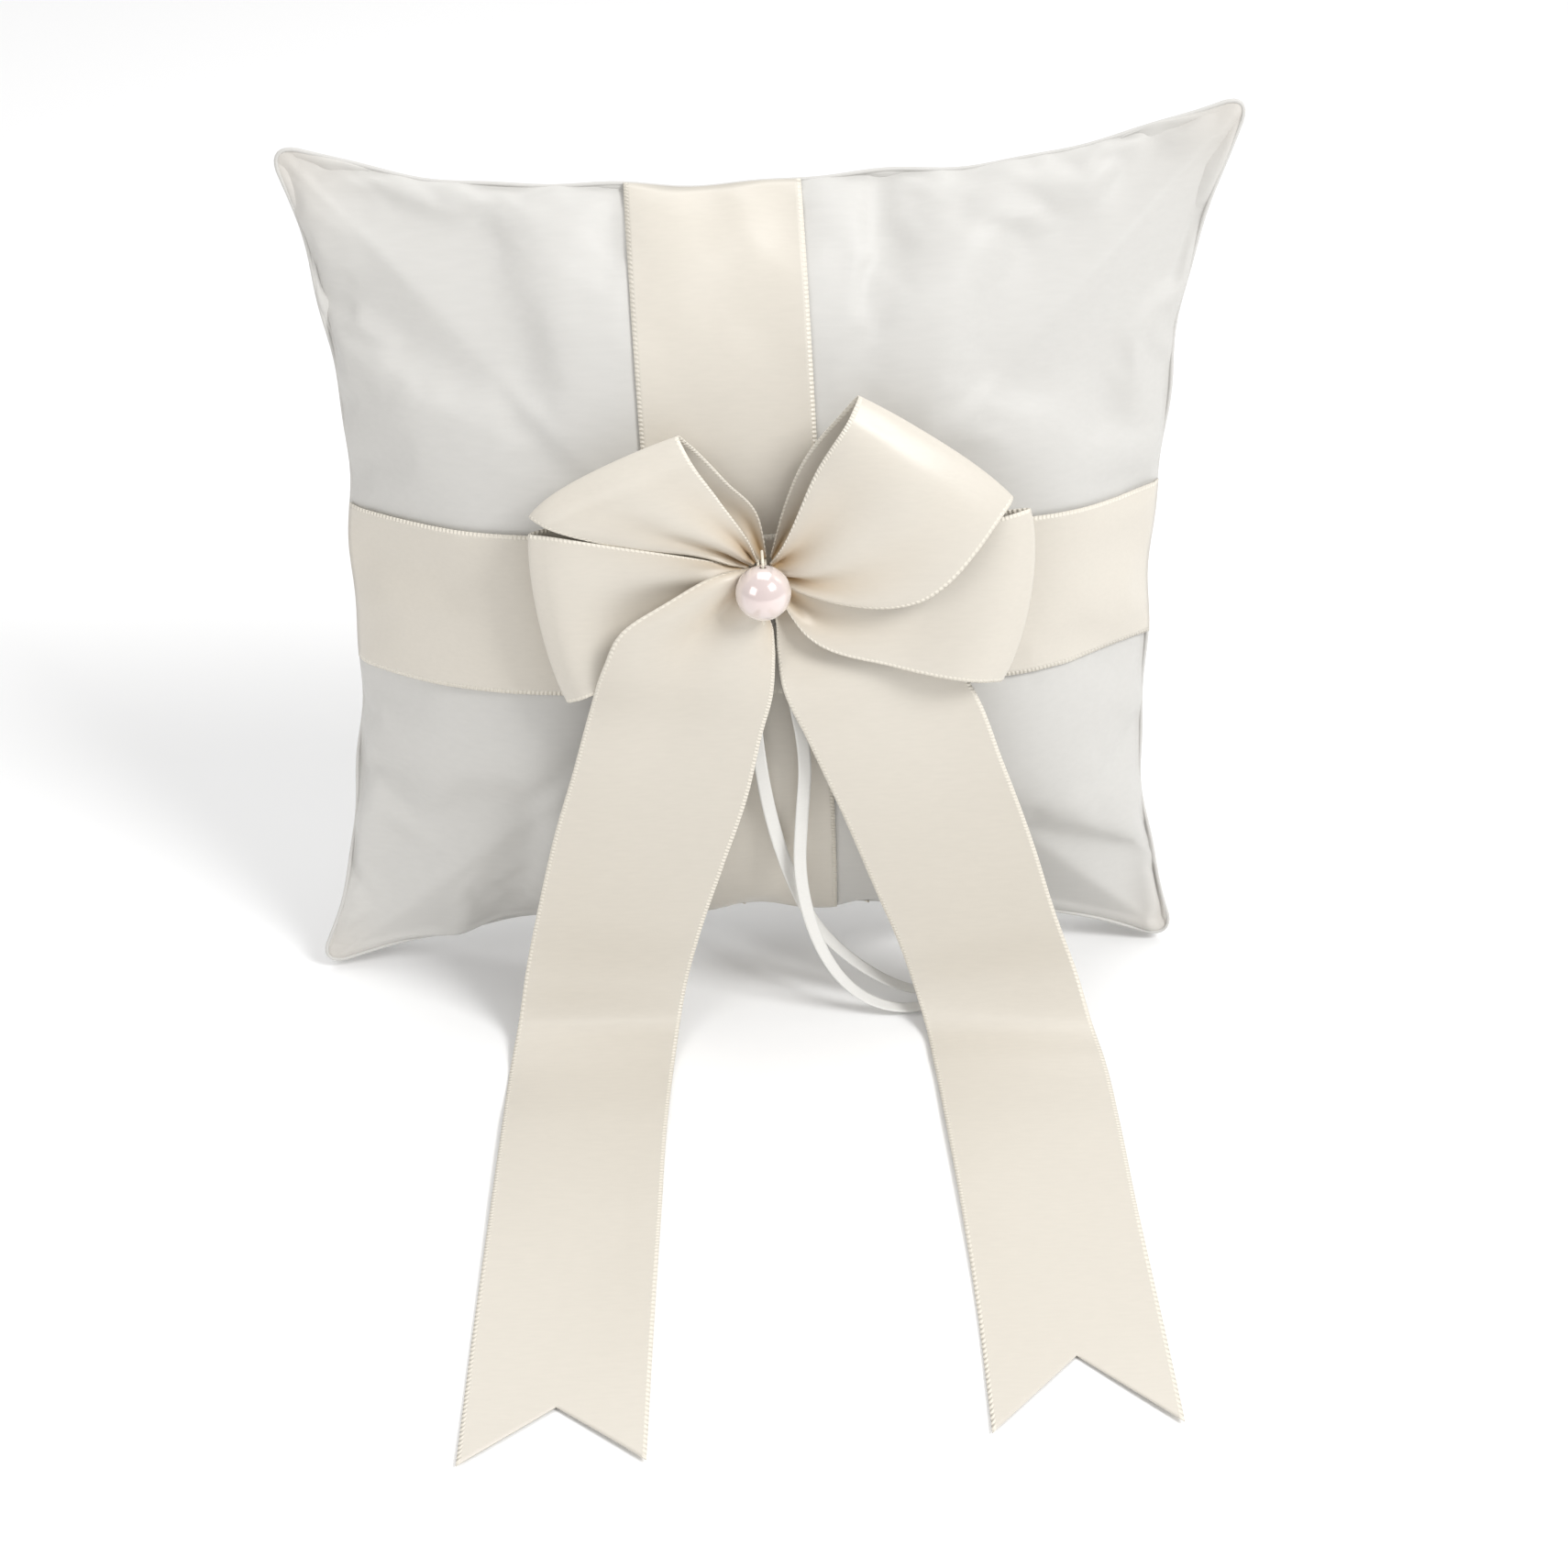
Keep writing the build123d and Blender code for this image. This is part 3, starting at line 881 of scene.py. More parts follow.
    def _uv(self, piece: bpy.types.Object, flat: np.ndarray, grids: dict[int, np.ndarray]) -> None:
        """Lay the panels' UV map out flat.

        Args:
            piece: The cover.
            flat: The outline grid.
            grids: Vertex numbers of both panels.
        """
        place = {}
        for numbers in grids.values():
            for number, xy in zip(numbers.ravel(), flat.reshape(-1, 2)):
                place[int(number)] = xy
        layer = piece.data.uv_layers.new(name="UVMap")
        for loop in piece.data.loops:
            layer.data[loop.index].uv = place[loop.vertex_index]

    def _ear_shade(self, points: np.ndarray) -> np.ndarray:
        """How far the cloth is tinted with pinkish painted shade towards its four ears.

        Args:
            points: The cover's vertices.

        Returns:
            A number from 0 to 1 for each.
        """
        local = SeamPlane.to_local(points)
        e = self._edges()
        tone = np.zeros(len(points))
        for name in ("bl", "br", "tl", "tr"):
            away = np.hypot(local[:, 0] - e[name][0], local[:, 1] - e[name][1])
            tone = np.maximum(tone, 0.32 * np.exp(-((away / (16 * MM)) ** 2)))
        return tone

    def rim_points(self, inset: float) -> np.ndarray:
        """The seam line, moved in from the edge.

        Args:
            inset: In metres.

        Returns:
            Points round the cushion.
        """
        points = np.array([self.piece.data.vertices[int(i)].co[:] for i in self.rim])
        centre = points.mean(axis=0)
        inward = centre - points
        inward /= np.linalg.norm(inward, axis=1, keepdims=True)
        return points + inward * inset

    def surface(self) -> BVHTree:
        """A search tree of the finished cover.

        Returns:
            The tree.
        """
        graph = bpy.context.evaluated_depsgraph_get()
        return BVHTree.FromObject(self.piece, graph)


@dataclass
class Seams:
    """The stitching round the edge and the hand stitches that close the stuffing gap."""

    cushion: Cushion
    paint: Paint

    def build(self) -> list[bpy.types.Object]:
        """Make both lines of stitching.

        Returns:
            The two pieces.
        """
        path = self.cushion.rim_points(0.35 * MM)
        seam = tube_object("edge_seam", path, 0.45 * MM, closed=True)
        set_attribute(seam, "crease", np.zeros(len(seam.data.vertices)))
        self.paint.apply(seam, COVER)
        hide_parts("perimeter_seam_thread")
        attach(seam, ROOT)
        low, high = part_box("closing_stitches")
        bottom = path[(path[:, 2] < 40 * MM)]
        bottom = bottom[np.argsort(bottom[:, 0])]
        points, faces = [], []
        for x in np.arange(low[0] + 1.5 * MM, high[0], 6 * MM):
            middle = np.array([np.interp(x, bottom[:, 0], bottom[:, k]) for k in range(3)])
            half = np.array([1.1 * MM, 0, 0]) + SeamPlane.out * 0.75 * MM
            stitch = tube_object(
                "stitch", np.linspace(middle - half, middle + half, 4) - SeamPlane.up * 0.35 * MM,
                0.2 * MM,
            )
            offset = len(points)
            points += [v.co[:] for v in stitch.data.vertices]
            faces += [tuple(offset + i for i in p.vertices) for p in stitch.data.polygons]
            bpy.data.objects.remove(stitch)
        stitches = make_object("closing_whipstitch", np.array(points), faces)
        self.paint.apply(stitches, THREAD)
        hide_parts("closing_stitches")
        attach(stitches, ROOT)
        return [seam, stitches]


# --------------------------------------------------------------------------- ribbons
@dataclass
class Band:
    """A ribbon pulled flat across the front from seam to seam."""

    name: str
    node: str
    start: tuple[float, float]
    end: tuple[float, float]
    lift: float

    def build(self, cushion: Cushion, paint: Paint) -> bpy.types.Object:
        """Lay the band over the finished cover.

        Args:
            cushion: The cushion it crosses.
            paint: The materials.

        Returns:
            The band.
        """
        tree = cushion.surface()
        start, end = np.array(self.start) * MM, np.array(self.end) * MM
        along = (end - start) / np.linalg.norm(end - start)
        across = np.array([-along[1], along[0]])
        rows, columns = 170, 27
        rim = SeamPlane.to_local(cushion.rim_points(0.0))[:, :2]
        rim = np.vstack([rim, rim[:1]])
        grid = np.zeros((rows, columns, 3))
        for c in range(columns):
            offset = (c / (columns - 1) - 0.5) * RIBBON_WIDTH
            base = start + across * offset
            reach = (rim - base) @ along
            gap = (rim - base) @ across
            cross = np.nonzero(np.sign(gap[:-1]) != np.sign(gap[1:]))[0]
            ends = [
                reach[i] + (reach[i + 1] - reach[i]) * gap[i] / (gap[i] - gap[i + 1]) for i in cross
            ]
            first, last = min(ends) + 0.1 * MM, max(ends) - 0.1 * MM
            for r, s in enumerate(np.linspace(first, last, rows)):
                x, height = base + along * s
                begin = SeamPlane.to_world(np.array([x, height, RAY_START]))
                hit = tree.ray_cast(Vector(begin), Vector(-SeamPlane.out))[0]
                depth = 0.0 if hit is None else SeamPlane.to_local(np.array(hit[:]))[2]
                grid[r, c] = (x, height, depth)
        depth = grid[:, :, 2].copy()
        floor = depth.copy()
        for _ in range(14):
            calm = depth.copy()
            calm[1:-1] = (depth[:-2] + 2 * depth[1:-1] + depth[2:]) / 4
            calm[:, 1:-1] = (calm[:, :-2] + 2 * calm[:, 1:-1] + calm[:, 2:]) / 4
            depth = np.maximum(calm, floor)
        grid[:, :, 2] = depth + self.lift
        points = SeamPlane.to_world(grid)
        lengths = chord_knots([points[:, columns // 2]])
        piece = grid_object(self.name, points, lengths)
        set_attribute(piece, "crease", np.zeros(rows * columns))
        thicken(piece, RIBBON_THICKNESS)
        paint.apply(piece, RIBBON)
        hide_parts(self.node)
        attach(piece, ROOT)
        return piece


@dataclass(frozen=True)
class Pleats:
    """Folds that fan out from a gathered end."""

    count: float = 2.0
    depth: float = 1.3
    reach: float = 13.0
    phase: float = 0.4


@dataclass
class Loop:
    """One folded length of ribbon, gathered at the bow's middle at both ends.

    The rails are its two edges, out along the front and back along the back, in millimetres from
    the bow's middle.
    """

    name: str
    node: str
    upper: list[Point]
    lower: list[Point]
    bulge: float
    belly: float
    pleats: Pleats = Pleats()

    def build(self, place: BowPlace, paint: Paint) -> bpy.types.Object:
        """Make the loop.

        Args:
            place: Where the bow is.
            paint: The materials.

        Returns:
            The loop.
        """
        rows, columns = 150, 49
        upper, lower = np.array(self.upper, float), np.array(self.lower, float)
        knots = chord_knots([upper, lower])
        s = np.linspace(0, knots[-1], rows)
        t = np.linspace(0, 1, columns)
        top, low = smooth_rail(upper, knots, s), smooth_rail(lower, knots, s)
        grid = top[:, None] * (1 - t)[None, :, None] + low[:, None] * t[None, :, None]
        reach = np.linalg.norm(grid[:, :, :2], axis=2)
        far = reach.max()
        arch = (1 - (2 * t - 1) ** 2)[None, :]
        radial = grid[:, :, :2] / np.maximum(reach, 1e-6)[..., None]
        grid[:, :, :2] += radial * (self.bulge * (reach / far) ** 3 * arch)[..., None]
        half = knots[len(knots) // 2]
        front = np.clip(1 - s / half, -1, 1)
        out = np.sin(math.pi * np.clip(s / half, 0, 1))
        grid[:, :, 2] += (self.belly * out)[:, None] * arch
        gathered = np.minimum(s, knots[-1] - s)
        p = self.pleats
        fade = np.exp(-gathered / p.reach)[:, None]
        grow = np.clip(gathered / 3.0, 0.25, 1)[:, None]
        folds = np.cos(2 * math.pi * (p.count * t + p.phase))[None, :]
        fine = np.cos(2 * math.pi * (2.3 * p.count * t + 0.3 + p.phase))[None, :]
        ripple = p.depth * fade * grow * (folds + 0.35 * fine * fade)
        grid[:, :, 2] += ripple * np.where(front >= 0, 1.0, 0.4)[:, None]
        grid[:, :, 2] = np.maximum(grid[:, :, 2], 0.3)
        piece = grid_object(self.name, place.at(grid), s * MM)
        # Painted shade: darker towards the gathered ends and in the pleats' valleys.
        tone = np.clip(0.95 * np.exp(-gathered / 8.5)[:, None] * (0.75 - 0.45 * folds), 0, 0.8)
        set_attribute(piece, "crease", tone + np.zeros((rows, columns)))
        thicken(piece, RIBBON_THICKNESS)
        paint.apply(piece, RIBBON)
        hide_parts(self.node)
        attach(piece, ROOT)
        float(self._area(grid)) * MM * MM
        return piece

    @staticmethod
    def _area(grid: np.ndarray) -> float:
        """Area of a grid of points.

        Args:
            grid: Rows by columns by 3.

        Returns:
            The area in the grid's own units.
        """
        a = grid[1:, :-1] - grid[:-1, :-1]
        b = grid[:-1, 1:] - grid[:-1, :-1]
        return float(np.linalg.norm(np.cross(a, b), axis=2).sum())


@dataclass
class Tail:
    """A long ribbon end that hangs from the bow and lies forward along the table."""

    name: str
    node: str
    body: str
    bow_rails: tuple[list[Point], list[Point]]
    rails: tuple[list[Point], list[Point]]
    notch: float
    pleats: Pleats

    def build(self, place: BowPlace, paint: Paint) -> bpy.types.Object:
        """Make the tail.

        Args:
            place: Where the bow is.
            paint: The materials.

        Returns:
            The tail.
        """
        left = np.vstack([place.at(self.bow_rails[0]), world(self.rails[0])])
        right = np.vstack([place.at(self.bow_rails[1]), world(self.rails[1])])
        knots = chord_knots([left, right])
        rows, columns = 260, 41
        t = np.linspace(0, 1, columns)
        total = knots[-1]
        s = np.linspace(0, total, rows)[:, None] + np.zeros((1, columns))
        cut = total - 60 * MM
        end = total - self.notch * MM * (1 - np.abs(2 * t - 1))[None, :]
        s = np.where(s > cut, cut + (s - cut) * (end - cut) / (total - cut), s)
        grid = (
            smooth_rail(left, knots, s) * (1 - t)[None, :, None]
            + smooth_rail(right, knots, s) * t[None, :, None]
        )
        p = self.pleats
        fade = np.exp(-s / (p.reach * MM))
        grow = np.clip(s / (4 * MM), 0.3, 1)
        folds = np.cos(2 * math.pi * (p.count * t + p.phase))[None, :]
        fine = np.cos(2 * math.pi * (2.2 * p.count * t + p.phase))[None, :]
        long_fold = 0.7 * np.exp(-s / (60 * MM)) * np.sin(2 * math.pi * (0.9 * t + 0.1))[None, :]
        lift = (p.depth * fade * grow * (folds + 0.3 * fine * fade) + long_fold) * MM
        normal = grid_normals(grid)
        normal *= np.sign(normal @ SeamPlane.out)[..., None]
        grid += normal * lift[..., None]
        on_table = np.clip((s - total * 0.45) / (total * 0.1), 0, 1)
        wave = 0.35 * MM * (1 + np.sin(s / (21 * MM) + 2.2 * t[None, :])) * on_table
        grid[:, :, 2] = np.maximum(grid[:, :, 2] + wave, 0.3 * MM)
        piece = grid_object(self.name, grid, s[:, columns // 2])
        # Painted shade: darker next to the bow and in the pleats' valleys.
        tone = np.clip(0.55 * np.exp(-s / (9 * MM)) * (0.8 - 0.5 * folds), 0, 0.8)
        set_attribute(piece, "crease", tone)
        thicken(piece, RIBBON_THICKNESS)
        paint.apply(piece, RIBBON)
        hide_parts(self.node)
        joint = next(j for j in frame["record"]["behaviour"]["joints"] if j["child"] == self.body)
        pivot = np.array(joint["pos_m"])
        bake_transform(piece)
        return piece


@dataclass
class RingRibbon:
    """A narrow flat ribbon that a ring is tied on with."""

    name: str
    node: str
    route: list[Point]
    twist: tuple[float, float]

    def _line(self, start: np.ndarray, count: int) -> np.ndarray:
        """A quadratic spline with the route as its control points.

        Args:
            start: Where the ribbon is sewn on.
            count: Number of samples.

        Returns:
            Points along it, evenly spaced.
        """
        control = np.vstack([start[None], world(self.route)])
        n = len(control)
        knots = np.concatenate([[0, 0], np.arange(n - 1), [n - 2, n - 2]]).astype(float)
        at = np.linspace(0, n - 2 - 1e-9, count * 4)
        span = np.clip(np.floor(at).astype(int), 0, n - 3)
        points = np.zeros((len(at), 3))
        for k in range(3):
            i = span + k
            points += control[i] * self._basis(knots, span, k, at)[:, None]
        travelled = np.concatenate([[0], np.cumsum(np.linalg.norm(np.diff(points, axis=0), axis=1))])
        even = np.linspace(0, travelled[-1], count)
        return np.stack([np.interp(even, travelled, points[:, k]) for k in range(3)], axis=1)

    @staticmethod
    def _basis(knots: np.ndarray, span: np.ndarray, k: int, at: np.ndarray) -> np.ndarray:
        """Weights of a clamped quadratic spline.

        Args:
            knots: Its knots.
            span: The span of each parameter.
            k: Which of the three control points.
            at: The parameters.

        Returns:
            One weight for each parameter.
        """
        j = span + 2
        left1, right1 = at - knots[j], knots[j + 1] - at
        left2, right2 = at - knots[j - 1], knots[np.minimum(j + 2, len(knots) - 1)] - at
        inner = 1.0 / np.maximum(right1 + left1, 1e-9)
        first = right1 * inner / np.maximum(right1 + left2, 1e-9)
        last = left1 * inner / np.maximum(right2 + left1, 1e-9)
        if k == 0:
            return right1 * first
        if k == 1:
            return left2 * first + right2 * last
        return left1 * last

    def build(self, paint: Paint) -> bpy.types.Object:
        """Make the ribbon.

        Args:
            paint: The materials.

        Returns:
            The ribbon.
        """
        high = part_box(self.node)[1]
        mesh = frame["nodes"][self.node].data
        points = np.array([v.co[:] for v in mesh.vertices])
        near = points[points[:, 2] > high[2] - 0.4 * MM].mean(axis=0)
        path = self._line(near, 150)
        path[:, 2] = np.maximum(path[:, 2], 0.4 * MM)
        tangent = np.gradient(path, axis=0)
        tangent /= np.linalg.norm(tangent, axis=1, keepdims=True)
        share = np.linspace(0, 1, len(path))[:, None]
        facing = SeamPlane.out * (1 - share) + np.array([0.0, -0.35, 1.0]) * share
        side = np.cross(tangent, facing)
        side /= np.linalg.norm(side, axis=1, keepdims=True)
        turn = np.radians(self.twist[0] + (self.twist[1] - self.twist[0]) * share[:, 0])
        other = np.cross(side, tangent)
        side = side * np.cos(turn)[:, None] + other * np.sin(turn)[:, None]
        across = np.linspace(-0.5, 0.5, 7)
        grid = path[:, None] + side[:, None] * (across * NARROW_WIDTH)[None, :, None]
        grid[:, :, 2] = np.maximum(grid[:, :, 2], 0.25 * MM)
        lengths = chord_knots([path])
        piece = grid_object(self.name, grid, lengths)
        set_attribute(piece, "crease", np.zeros(grid.shape[0] * grid.shape[1]))
        thicken(piece, 0.3 * MM)
        paint.apply(piece, NARROW)
        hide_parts(self.node)
        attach(piece, ROOT)
        return piece


class Bow:
    """The four loops, the two tails and the narrow ribbons, round the pearl."""

    LOOPS = (
        Loop(
            "loop_upper_left", "bow_upper_left_loop",
            [(-0.9, 3.5, 4.8), (-2.6, 8.9, 6.5), (-9.0, 20.0, 8.5), (-15.4, 30.2, 8.0),
             (-17.0, 32.8, 4.6), (-14.6, 29.6, 1.4), (-7.0, 20.8, 1.0), (-0.4, 12.6, 1.4),
             (1.2, 3.6, 2.6)],
            [(-3.4, 2.4, 4.8), (-12.0, 6.0, 6.5), (-29.0, 9.4, 8.5), (-46.8, 14.8, 8.0),
             (-49.4, 15.6, 4.6), (-45.6, 14.6, 1.4), (-29.0, 10.2, 1.0), (-12.0, 5.6, 1.2),
             (-2.6, 2.2, 2.6)],
            bulge=4.4, belly=1.6, pleats=Pleats(2.0, 1.5, 13.0, 0.1),
        ),
        Loop(
            "loop_lower_left", "bow_lower_left_loop",
            [(-3.2, 1.8, 5.4), (-12.0, 5.4, 8.0), (-30.0, 9.8, 9.6), (-46.6, 12.4, 7.8),
             (-49.6, 12.2, 6.2), (-46.5, 12.6, 4.6), (-30.0, 11.0, 5.2), (-12.0, 5.6, 4.4),
             (-2.8, 1.4, 2.8)],
            [(-2.6, -0.8, 5.4), (-11.5, -7.6, 8.0), (-26.0, -18.0, 8.6), (-41.2, -26.8, 8.0),
             (-43.4, -28.4, 4.8), (-40.4, -26.4, 1.6), (-26.0, -18.0, 1.0), (-11.5, -8.0, 1.2),
             (-2.4, -0.8, 2.8)],
            bulge=2.8, belly=-0.8, pleats=Pleats(1.6, 1.7, 16.0, 0.55),
        ),
        Loop(
            "loop_upper_right", "bow_upper_right_loop",
            [(1.8, 3.2, 4.8), (5.0, 9.4, 7.0), (11.4, 25.2, 9.2), (19.4, 38.6, 9.0),
             (21.0, 41.0, 5.4), (16.8, 35.0, 1.8), (9.6, 25.6, 1.2), (4.6, 13.4, 1.4),
             (2.0, 4.0, 2.8)],
            [(3.4, -0.6, 5.8), (14.0, -3.8, 9.4), (33.0, -4.0, 12.2), (50.6, 13.4, 9.8),
             (54.0, 17.0, 5.8), (49.6, 14.8, 2.0), (34.0, 8.6, 1.6), (16.0, 3.4, 1.6),
             (3.0, 1.0, 2.8)],
            bulge=2.6, belly=1.8, pleats=Pleats(2.1, 1.6, 13.0, 0.0),
        ),
        Loop(
            "loop_lower_right", "bow_lower_right_loop",
            [(3.6, 1.4, 3.6), (14.0, 4.6, 5.0), (34.0, 9.6, 6.2), (55.0, 14.0, 6.6),
             (57.8, 14.2, 4.8), (54.0, 13.2, 3.0), (34.0, 8.8, 2.6), (14.0, 4.0, 2.2),
             (3.2, 1.0, 2.2)],
            [(2.8, -3.0, 6.0), (8.8, -12.2, 7.8), (28.0, -20.2, 9.4), (49.6, -25.0, 8.8),
             (52.4, -25.8, 6.4), (48.6, -24.4, 4.2), (28.0, -18.4, 3.8), (10.0, -9.6, 3.0),
             (2.6, -1.8, 2.6)],
            bulge=4.0, belly=-0.6, pleats=Pleats(1.7, 1.3, 15.0, 0.3),
        ),
    )
    TAILS = (
        Tail(
            "ribbon_tail_left", "left_tail", "left_tail",
            (
                [(-3.0, 3.0, 6.8), (-10.2, 3.4, 11.0), (-20.9, -1.4, 13.4), (-30.6, -7.6, 14.0),
                 (-35.0, -16.6, 12.6)],
                [(0.6, -2.4, 6.4), (2.0, -8.0, 8.4), (2.5, -13.8, 9.0), (2.4, -19.6, 9.0),
                 (1.8, -26.4, 8.8)],
            ),
            (
                [(-34.2, -27.4, 90.2), (-38.7, -26.6, 73.6), (-43.8, -25.8, 56.0),
                 (-48.8, -25.4, 35.0), (-53.0, -26.2, 15.5), (-55.0, -29.6, 4.6),
                 (-56.4, -38.0, 0.9), (-57.9, -62.0, 0.5), (-59.6, -92.0, 0.5),
                 (-61.6, -128.0, 0.5), (-63.2, -163.3, 0.5)],
                [(3.6, -27.2, 82.0), (0.0, -26.4, 64.6), (-5.6, -25.6, 46.0),
                 (-11.4, -25.4, 27.0), (-15.4, -26.2, 11.0), (-17.0, -29.6, 3.6),
                 (-18.2, -38.0, 0.9), (-20.4, -62.0, 0.5), (-22.0, -92.0, 0.5),
                 (-23.8, -128.0, 0.5), (-25.4, -164.0, 0.5)],
            ),
            notch=15.0, pleats=Pleats(1.7, 2.0, 17.0, 0.75),
        ),
        Tail(
            "ribbon_tail_right", "right_tail", "right_tail",
            (
                [(0.8, -3.4, 3.2), (2.4, -9.0, 4.6), (2.9, -18.0, 5.4)],
                [(2.6, -2.4, 2.4), (12.0, -6.5, 1.4), (27.0, -13.0, 0.8)],
            ),
            (
                [(8.2, -25.8, 94.0), (13.4, -26.0, 80.4), (21.7, -26.0, 58.7),
                 (29.0, -25.4, 37.5), (35.2, -25.6, 20.0), (39.0, -27.6, 7.0),
                 (40.8, -33.0, 1.8), (41.6, -44.0, 0.6), (42.6, -66.0, 0.5),
                 (43.5, -92.0, 0.5), (44.1, -126.0, 0.5), (43.8, -160.0, 0.5)],
                [(41.6, -21.4, 103.0), (50.1, -23.6, 91.4), (57.8, -25.6, 71.5),
                 (65.2, -25.6, 49.5), (71.2, -26.0, 29.0), (77.2, -28.0, 11.0),
                 (79.8, -34.0, 2.4), (81.4, -46.0, 0.6), (82.0, -68.0, 0.5),
                 (82.0, -92.0, 0.5), (82.3, -126.0, 0.5), (82.6, -159.4, 0.5)],
            ),
            notch=20.0, pleats=Pleats(1.5, 1.3, 15.0, 0.2),
        ),
    )
    RING_RIBBONS = (
        RingRibbon(
            "ring_tie_left", "ring_ribbon_left",
            [(1.6, -22.6, 91.0), (2.9, -22.4, 72.0), (5.6, -21.0, 54.0), (9.6, -19.8, 38.0),
             (14.4, -18.9, 24.5), (21.4, -18.6, 14.6), (29.6, -19.4, 7.6), (38.4, -20.0, 3.0),
             (47.6, -18.2, 1.6), (56.0, -18.6, 1.5)],
            (0.0, 25.0),
        ),
        RingRibbon(
            "ring_tie_right", "ring_ribbon_right",
            [(10.6, -22.8, 91.0), (13.6, -22.6, 73.0), (12.4, -22.0, 56.0), (11.6, -22.2, 41.0),
             (14.0, -23.2, 26.5), (19.0, -23.9, 13.5), (26.0, -24.4, 5.0), (34.5, -25.2, 1.6),
             (43.5, -23.6, 1.5), (52.0, -24.2, 1.5)],
            (10.0, 20.0),
        ),
    )

    def __init__(self, paint: Paint) -> None:
        """Keep the materials and find the bow's middle.

        Args:
            paint: The materials.
        """
        self.paint = paint
        self.place = BowPlace()

    def pearl(self) -> bpy.types.Object:
        """Turn the drilled pearl on its bore.

        Returns:
            The pearl.
        """
        low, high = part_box("pearl")
        middle = (np.array(low) + np.array(high)) / 2
        radius, bore = 6.0 * MM, 0.7 * MM
        start = math.asin(bore / radius)
        angles = np.linspace(start, math.pi - start, 49)
        profile = [(radius * math.sin(a), radius * math.cos(a)) for a in angles]
        profile += [(bore, h) for h in np.linspace(-0.98 * radius, 0.98 * radius, 7)]
        turns = np.linspace(0, 2 * math.pi, 64, endpoint=False)
        points = [
            middle + SeamPlane.up * h
            + r * (SeamPlane.across * math.cos(a) + SeamPlane.out * math.sin(a))
            for r, h in profile
            for a in turns
        ]
        faces = []
        for ring in range(len(profile)):
            nxt = (ring + 1) % len(profile)
            for k in range(64):
                m = (k + 1) % 64
                faces.append((ring * 64 + k, nxt * 64 + k, nxt * 64 + m, ring * 64 + m))
        piece = make_object("pearl_bead", np.array(points), faces)
        self.paint.apply(piece, PEARL)
        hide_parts("pearl")
        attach(piece, ROOT)
        return piece

    def build(self) -> list[bpy.types.Object]:
        """Make everything in front of the bands.

        Returns:
            The pieces.
        """
        made = [self.pearl()]
        for node in ("bow_gather_thread", "bow_anchor_stitches", "pearl_thread", "ring_ribbon_tack"):
            self.paint.apply(frame["nodes"][node], THREAD)
        for loop in self.LOOPS:
            made.append(loop.build(self.place, self.paint))
            LOG.info("made %s", made[-1].name)
        for tail in self.TAILS:
            made.append(tail.build(self.place, self.paint))
            LOG.info("made %s", made[-1].name)
        for ribbon in self.RING_RIBBONS:
            made.append(ribbon.build(self.paint))
            LOG.info("made %s", made[-1].name)
        return made


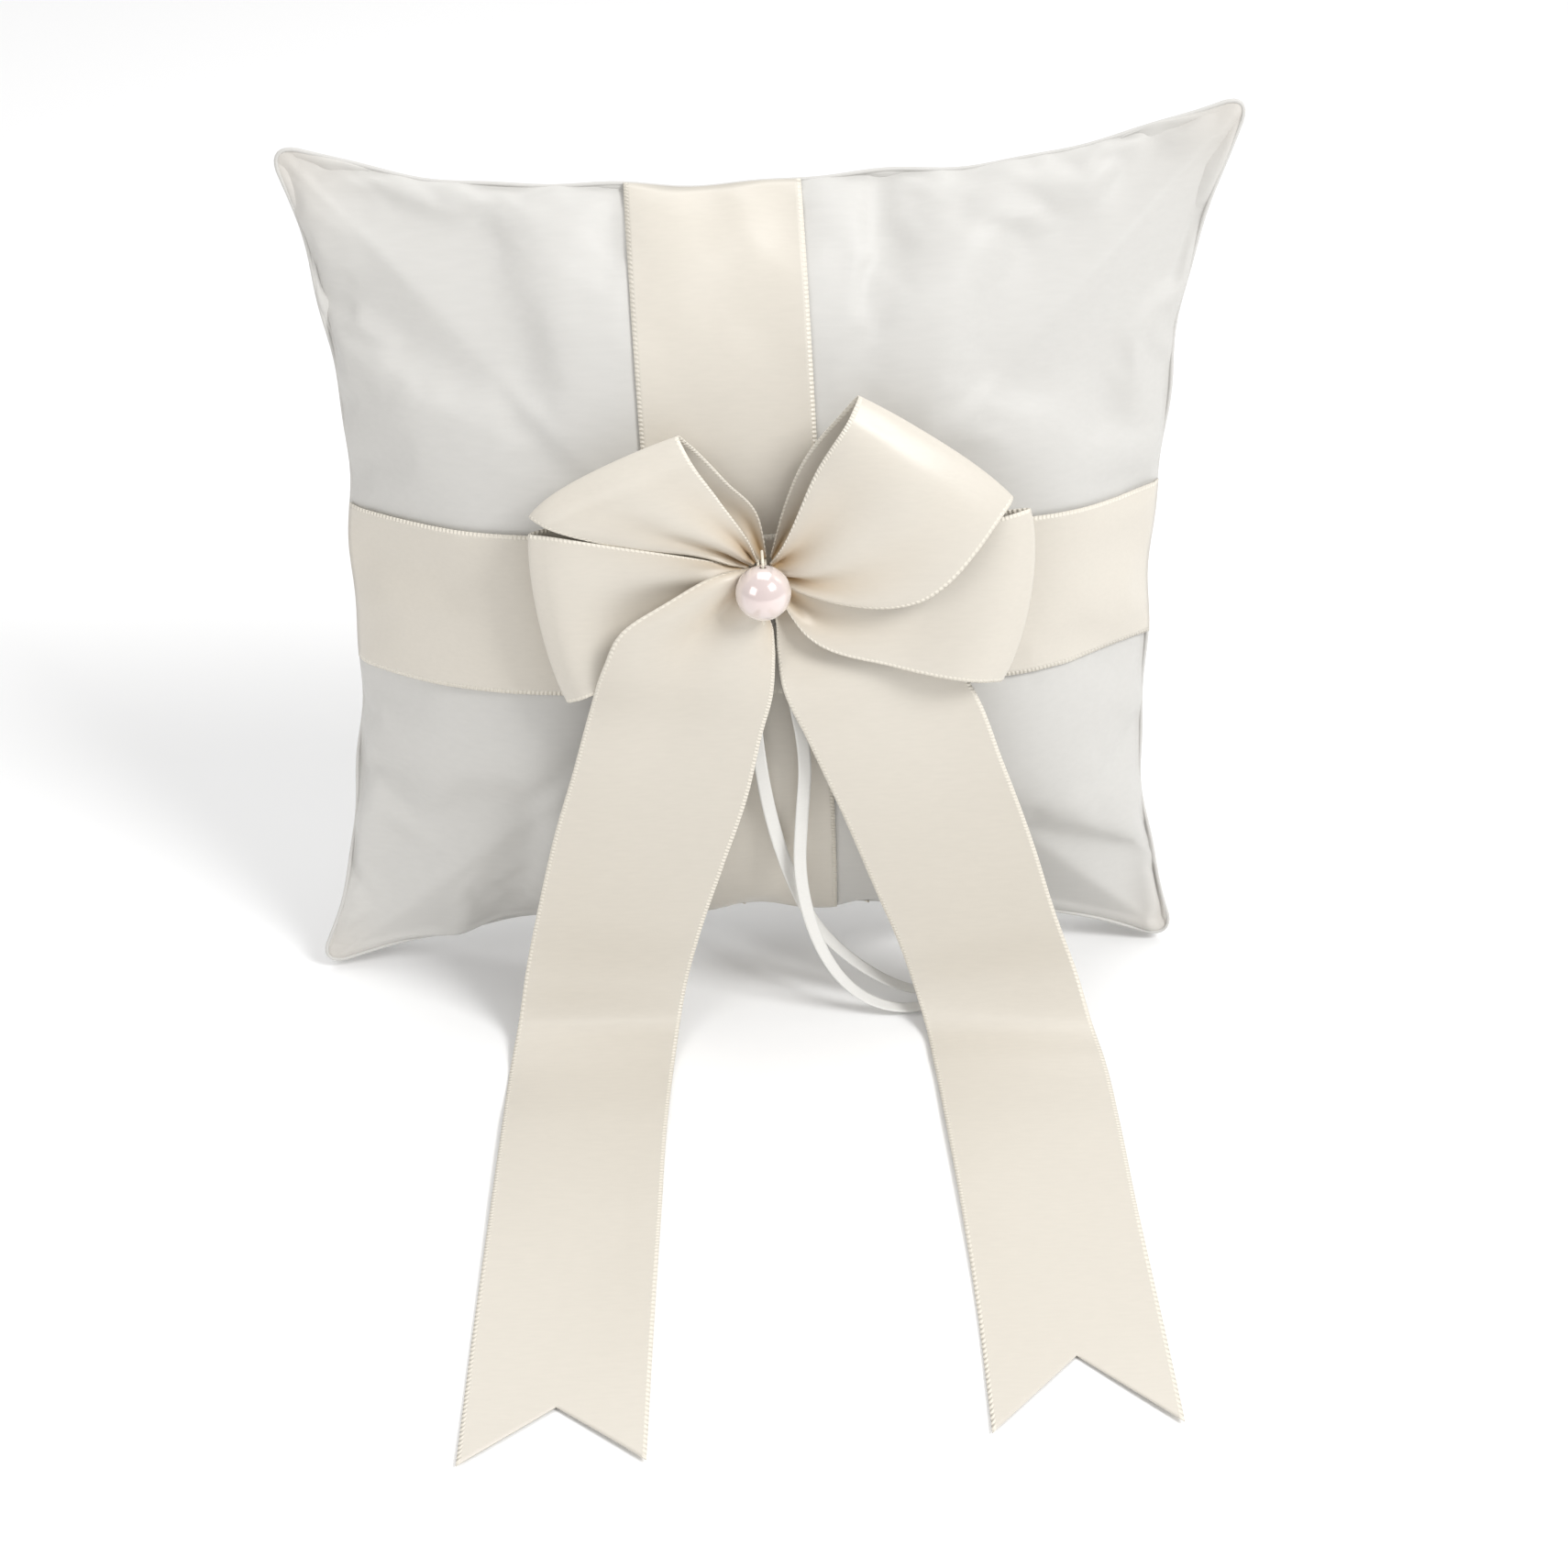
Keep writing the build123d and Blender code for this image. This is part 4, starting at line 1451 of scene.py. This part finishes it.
# --------------------------------------------------------------------------- studio
class Studio:
    """A plain pale floor, soft light and the camera."""

    FLOOR_REACH = 4.0  # half the floor's side
    SKY = 0.55
    LENS, SENSOR = 67.37, 36.0  # in millimetres
    EYE = (-0.0097, -0.570, 0.4393)
    PITCH, YAW, ROLL = math.radians(34.3), math.radians(-1.9), math.radians(0.8)

    def __init__(self, paint: Paint) -> None:
        """Keep the materials.

        Args:
            paint: The materials.
        """
        self.paint = paint

    def _area(self, name: str, at: Point, aim: Point, size: float, power: float,
              colour: tuple[float, float, float] = (1.0, 1.0, 1.0)) -> None:
        """Add a soft light.

        Args:
            name: Its name.
            at: Its place.
            aim: What it points at.
            size: Its side, in metres.
            power: In watts.
            colour: Its tint.
        """
        data = bpy.data.lights.new(name, "AREA")
        data.shape, data.size = "SQUARE", size
        data.energy, data.color = power, colour
        lamp = bpy.data.objects.new(name, data)
        lamp.location = at
        lamp.rotation_euler = (Vector(aim) - Vector(at)).to_track_quat("-Z", "Y").to_euler()
        bpy.context.scene.collection.objects.link(lamp)

    def build(self) -> None:
        """Set up the floor, world, lights and camera."""
        scene = bpy.context.scene
        floor = make_object(
            "floor",
            np.array([(-1, -1, 0), (1, -1, 0), (1, 1, 0), (-1, 1, 0)], float) * self.FLOOR_REACH,
            [(0, 1, 2, 3)],
        )
        self.paint.apply(floor, FLOOR)
        world_settings = bpy.data.worlds.new("studio")
        world_settings.use_nodes = True
        sky = world_settings.node_tree.nodes["Background"]
        sky.inputs["Color"].default_value = (1.0, 1.0, 1.0, 1)
        sky.inputs["Strength"].default_value = self.SKY
        scene.world = world_settings
        self._area("key", (0.95, -0.75, 1.25), (0, 0, 0.08), 0.6, 18.0)
        self._area("fill", (-1.1, -0.9, 0.9), (0, 0, 0.08), 0.8, 4.5, (1.0, 0.98, 0.96))
        self._area("top", (0.1, 0.5, 1.6), (0, 0, 0.1), 1.2, 9.0)
        scene.view_settings.view_transform = "Standard"
        self._camera(scene)

    def _camera(self, scene: bpy.types.Scene) -> None:
        """Add the camera.

        Args:
            scene: The scene.
        """
        data = bpy.data.cameras.new("camera")
        data.lens, data.sensor_width = self.LENS, self.SENSOR
        data.clip_start = 0.01
        camera = bpy.data.objects.new("camera", data)
        pitch, yaw, roll = self.PITCH, self.YAW, self.ROLL
        ahead = Vector((-math.sin(yaw) * math.cos(pitch), math.cos(yaw) * math.cos(pitch),
                        -math.sin(pitch)))
        right = Vector((math.cos(yaw), math.sin(yaw), 0))
        down = ahead.cross(right)
        x = right * math.cos(roll) + down * math.sin(roll)
        y = right * math.sin(roll) - down * math.cos(roll)
        basis = Matrix((x, y, -ahead)).transposed()
        camera.matrix_world = Matrix.Translation(self.EYE) @ basis.to_4x4()
        scene.collection.objects.link(camera)
        scene.camera = camera


def main() -> None:
    """Build the pillow round the frame."""
    logging.basicConfig(level=logging.INFO, format="%(message)s")
    paint = Paint()
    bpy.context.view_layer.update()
    cushion = Cushion(paint)
    cushion.build()
    LOG.info("made cushion")
    for piece in Seams(cushion, paint).build():
        LOG.info("made %s", piece.name)
    bands = (
        Band("band_upright", "vertical_band", (3.0, 0.0), (-4.0, 204.0), 0.45 * MM),
        Band("band_across", "horizontal_band", (-103.0, 104.5), (103.0, 104.5), 1.0 * MM),
    )
    for band in bands:
        band.build(cushion, paint)
        LOG.info("made %s", band.name)
    Bow(paint).build()
    Studio(paint).build()


if __name__ == "__main__":
    main()
